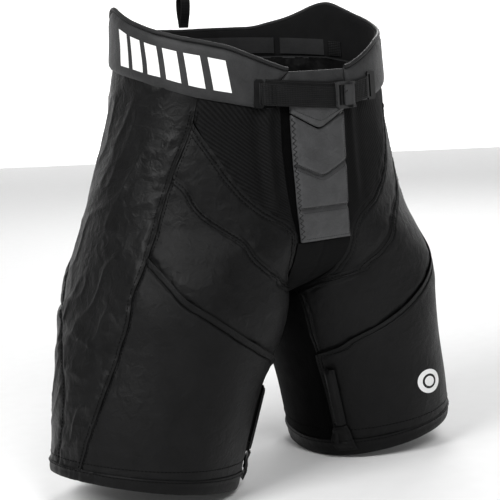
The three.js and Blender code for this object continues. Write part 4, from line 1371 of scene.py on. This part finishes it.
def finish_hard_pieces():
    """The moulded pieces keep their measured form, with moulded radii on every edge."""
    for name, radius in HARD.items():
        node = frame["nodes"][name]
        node.data.materials.clear()
        node.data.materials.append(MOULDED if "buckle" in name else ZIP_PLASTIC)
        bevel = node.modifiers.new("moulded_radius", "BEVEL")
        bevel.width = radius * MM
        bevel.segments = 3
        bevel.limit_method = "ANGLE"
        bevel.angle_limit = math.radians(35)
        bevel.harden_normals = False
        node.data.polygons.foreach_set("use_smooth", [True] * len(node.data.polygons))
        sharp = node.modifiers.new("even_faces", "WEIGHTED_NORMAL")
        sharp.keep_sharp = True


finish_hard_pieces()


# -------------------------------------------------------------------- hang loop
def hang_loop():
    """A stitched loop of narrow webbing standing at the centre of the back."""
    base = np.array([0.0, 120.339, 538.937])
    t = np.linspace(0, math.pi, 24)
    arch = [(4.9 * math.cos(q), 31 + 4.9 * math.sin(q)) for q in t]
    line = [(0.6, -1.0), (1.2, 4), (2.6, 10), (4.0, 16), (4.9, 24), *arch, (-4.9, 24), (-4.0, 16),
            (-2.6, 10), (-1.2, 4), (-0.6, -1.0)]
    path = resample(np.array([[0, y, z] for y, z in line], float), 1.3)
    tangent = np.gradient(path, axis=0)
    tangent /= np.linalg.norm(tangent, axis=1, keepdims=True)
    way = np.cross(tangent, [1.0, 0, 0])
    across = np.linspace(-6.8, 6.8, 15)
    path[:, 0] += 0.024 * path[:, 2]
    p = (base + path)[:, None] + np.array([1.0, 0, 0]) * across[None, :, None]
    ribs = 0.07 * np.sin(across * 2 * math.pi / RIB_PITCH)
    top = p + way[:, None] * (0.6 + ribs)[None, :, None]
    low = p - way[:, None] * 0.6
    obj = slab_piece("hang_loop_webbing", top, low, arc_map(p)[..., ::-1], WEBBING,
                     "loop")
    declare_sheet(obj, "hung", "belt_binding")


hang_loop()


# ---------------------------------------------------------- leg zips and tabs
ZIP_SEAT = {
    "right": ((-78.0458, -60.0179, 39.5618), (-0.48172, -0.87327, 0.07306),
              (0.82609, -0.48035, -0.29467), (0.29242, -0.08159, 0.9528)),
    "left": ((78.0458, -60.0179, 39.5618), (-0.48172, 0.87327, -0.07306),
             (-0.82609, -0.48035, -0.29467), (-0.29242, -0.08159, 0.9528))}


def seat_point(half, q):
    """Points given as (across, out, up) from the zip's foot, in the frame."""
    origin, across, out, up = [np.asarray(v) for v in ZIP_SEAT[half]]
    q = np.asarray(q, float)
    return origin + q[..., :1] * across + q[..., 1:2] * out + q[..., 2:3] * up


def cloth_height(half):
    """Height of the leg's cloth over the zip's own plane, at (across, up)."""
    origin, across, out, up = [Vector(v) for v in ZIP_SEAT[half]]

    def height(x, z):
        start = (origin + across * x + up * z + out * 12) * MM
        hit, _, _, _ = CLOTH_FACE.tree.ray_cast(start, -out, 40 * MM)
        return -1.0 if hit is None else max(-6.0, 12 - (hit - start).length / MM)
    return height


def zip_pieces():
    for half in ("right", "left"):
        toward = 1 if half == "right" else -1
        seat = ZIP_SEAT[half]
        height = cloth_height(half)
        tape = soft_plate(f"zipper_tape_{half}_webbing",
                          [(-6.5, 0), (6.5, 0), (6.5, 82), (-6.5, 82)], 0.7, seat, WEBBING,
                          "shell", step=2.5)
        declare_sheet(tape, "stretched", f"lower_front_panel_{half}")

        def mirrored(*points):
            return [(x * toward, z) for x, z in points]

        def laid(height_of, lift, *points):
            """A row of thread on a plate, through the given points."""
            flat = resample(np.array([(x, 0, z) for x, z in mirrored(*points)]), 1.5)
            return seat_point(half, [(x, height_of(x, z) + lift, z) for x, _, z in flat])

        def over_zip(x, z):
            """Height of the flap: laid on the cloth at its edges, over the zip between them."""
            crown = math.exp(-(x / 5.8) ** 4) / (1 + math.exp((z - 80.5) / 1.0))
            low = min(height(x, z), 3.0)
            if x * toward > 0:    # the sewn edge stands on the zip's side, clear of the pull
                low = max(low, 1.9)
            return low + 0.3 + (5.4 - low) * crown

        def over_hem(x, z):
            """Height of the tab: on the hem below the zip, over the flap's foot above."""
            rise = 1 / (1 + math.exp(-(z + 2) / 2.2))
            low = height(x, min(z, 0)) + 2.4 + 2.2 * math.exp(-((z + 13) / 6) ** 2)
            curl = 3.0 * max(0.0, (-x * toward - 2) / 13) ** 1.5
            return low * (1 - rise) + max(low, 5.6 - 2.4 * (x / 10) ** 2) * rise + curl
        flap = soft_plate(f"placket_flap_{half}_cloth",
                          mirrored((-8.5, 6.35), (8.5, 6.35), (8.5, 83), (-5.5, 83), (-8.5, 79)),
                          1.0, seat, FRONT_NYLON, f"placket_{half}", bulge=0.3,
                          bend=over_zip)
        declare_sheet(flap, "hung", f"lower_front_panel_{half}")
        tab = soft_plate(f"hem_tab_{half}_cloth",
                         mirrored((-9, -30), (-15, -15), (-9, 3), (9, 6), (17, -29)), 1.6, seat,
                         SIDE_NYLON, f"tab_{half}", bulge=1.2, bend=over_hem)
        declare_sheet(tab, "folded", f"hem_band_{half}")
        rows = [laid(over_zip, 1.4, *line) for line in (((5.9, 10), (5.9, 80)),
                                                        ((-6.0, 10), (-6.0, 76)),
                                                        ((-5.8, 79.4), (5.6, 79.6)))]
        sew(f"placket_stitches_{half}", rows, f"placket_{half}", 2.6, 1.9, 0.28)
        row = laid(over_hem, 2.2, (-8.2, -27.6), (-12.4, -15), (-7.4, 0.6), (7.4, 3.4),
                   (14.0, -26.6), (-8.2, -27.6))
        sew(f"hem_tab_stitches_{half}", [row], f"tab_{half}", 2.6, 1.9, 0.28)


zip_pieces()


# ------------------------------------------------------- each cloth's map and area measured, nothing kept
for obj in cloth_pieces:
    name = obj.name[:-len("_cloth")]
    half = "right" if name.endswith("right") else "left"
    if name.startswith("hem_band"):
        declare_sheet(obj, "gathered", f"lower_front_panel_{half}")
    elif name == "crotch_gusset":
        declare_sheet(obj, "stretched", "inner_thigh_panel_right", "inner_thigh_panel_left")
    else:
        declare_sheet(obj, "hung", f"belt_{half}")


# ---------------------------------------------------------------- camera and room
def stage_sheet(name, material, corners, scale, detail, shades, channel):
    """A plain sheet of the room, faintly mottled; returns its shader."""
    mesh = bpy.data.meshes.new(name)
    mesh.from_pydata(corners, [], [(0, 1, 2, 3)])
    mat, tree, shader = new_material(material)
    low, high = shades
    tree.links.new(tint(tree, cloud(tree, Scale=scale, Detail=detail), (low,) * 3, (high,) * 3),
                   shader.inputs[channel])
    mesh.materials.append(mat)
    place_object(name, mesh)
    return shader


VIEW_TURN = 39.3       # degrees to the wearer's right of straight in front


def studio():
    """A pale paper floor, a lit backdrop behind the camera's view and three softboxes."""
    scene = bpy.context.scene
    scene.view_settings.view_transform = "Standard"
    scene.world = bpy.data.worlds.new("studio_air")
    scene.world.use_nodes = True
    air = scene.world.node_tree.nodes["Background"]
    air.inputs["Color"].default_value = (1, 1, 1, 1)
    air.inputs["Strength"].default_value = 0.32
    paper = stage_sheet("studio_floor", "studio_paper",
                        [(-90, -90, -0.001), (90, -90, -0.001), (90, 90, -0.001),
                         (-90, 90, -0.001)], 40.0, 3.0, (0.8, 0.84), "Base Color")
    paper.inputs["Roughness"].default_value = 0.9
    ahead = Vector((math.sin(math.radians(VIEW_TURN)), math.cos(math.radians(VIEW_TURN)), 0))
    aside = Vector((ahead.y, -ahead.x, 0))
    glow = stage_sheet("studio_backdrop", "lit_backdrop",
                       [ahead * 5 + aside * x + Vector((0, 0, z))
                        for x, z in ((-7, 0), (7, 0), (7, 6), (-7, 6))], 3.0, 2.0, (0.9, 0.96),
                       "Emission Color")
    glow.inputs["Base Color"].default_value = (0.8, 0.8, 0.8, 1)
    glow.inputs["Emission Strength"].default_value = 0.92
    for name, at, energy, size in (("key_softbox", (-2.7, -0.6, 2.3), 95, 1.5),
                                   ("front_softbox", (-0.9, -2.6, 2.6), 52, 1.2),
                                   ("rim_softbox", (1.9, 1.6, 2.0), 30, 1.2)):
        light = bpy.data.lights.new(name, "AREA")
        light.energy, light.size = energy, size
        lamp = place_object(name, light)
        lamp.location = at
        lamp.rotation_euler = (Vector((0, 0, 0.3)) - Vector(at)).to_track_quat(
            "-Z", "Y").to_euler()


CAMERA_AWAY = 1.9       # metres from the middle of the garment


def camera():
    """A long lens from the wearer's right front, a little above, tipped slightly."""
    azimuth, height, roll = [math.radians(t) for t in (-VIEW_TURN, 7.3, -2.45)]
    target = Vector((-7.6, -2.41, 280.7)) * MM
    back = Vector((math.sin(azimuth) * math.cos(height), -math.cos(azimuth) * math.cos(height),
                   math.sin(height)))
    right = Vector((math.cos(azimuth), math.sin(azimuth), 0))
    up = back.cross(right)
    right_r = right * math.cos(roll) + up * math.sin(roll)
    up_r = -right * math.sin(roll) + up * math.cos(roll)
    data = bpy.data.cameras.new("view")
    data.lens, data.sensor_width = 113.0, 36.0
    data.shift_y = -0.022
    cam = place_object("view", data)
    turn = Matrix((right_r, up_r, back)).transposed()
    cam.matrix_world = Matrix.Translation(target + back * CAMERA_AWAY) @ turn.to_4x4()
    bpy.context.scene.camera = cam


studio()
camera()
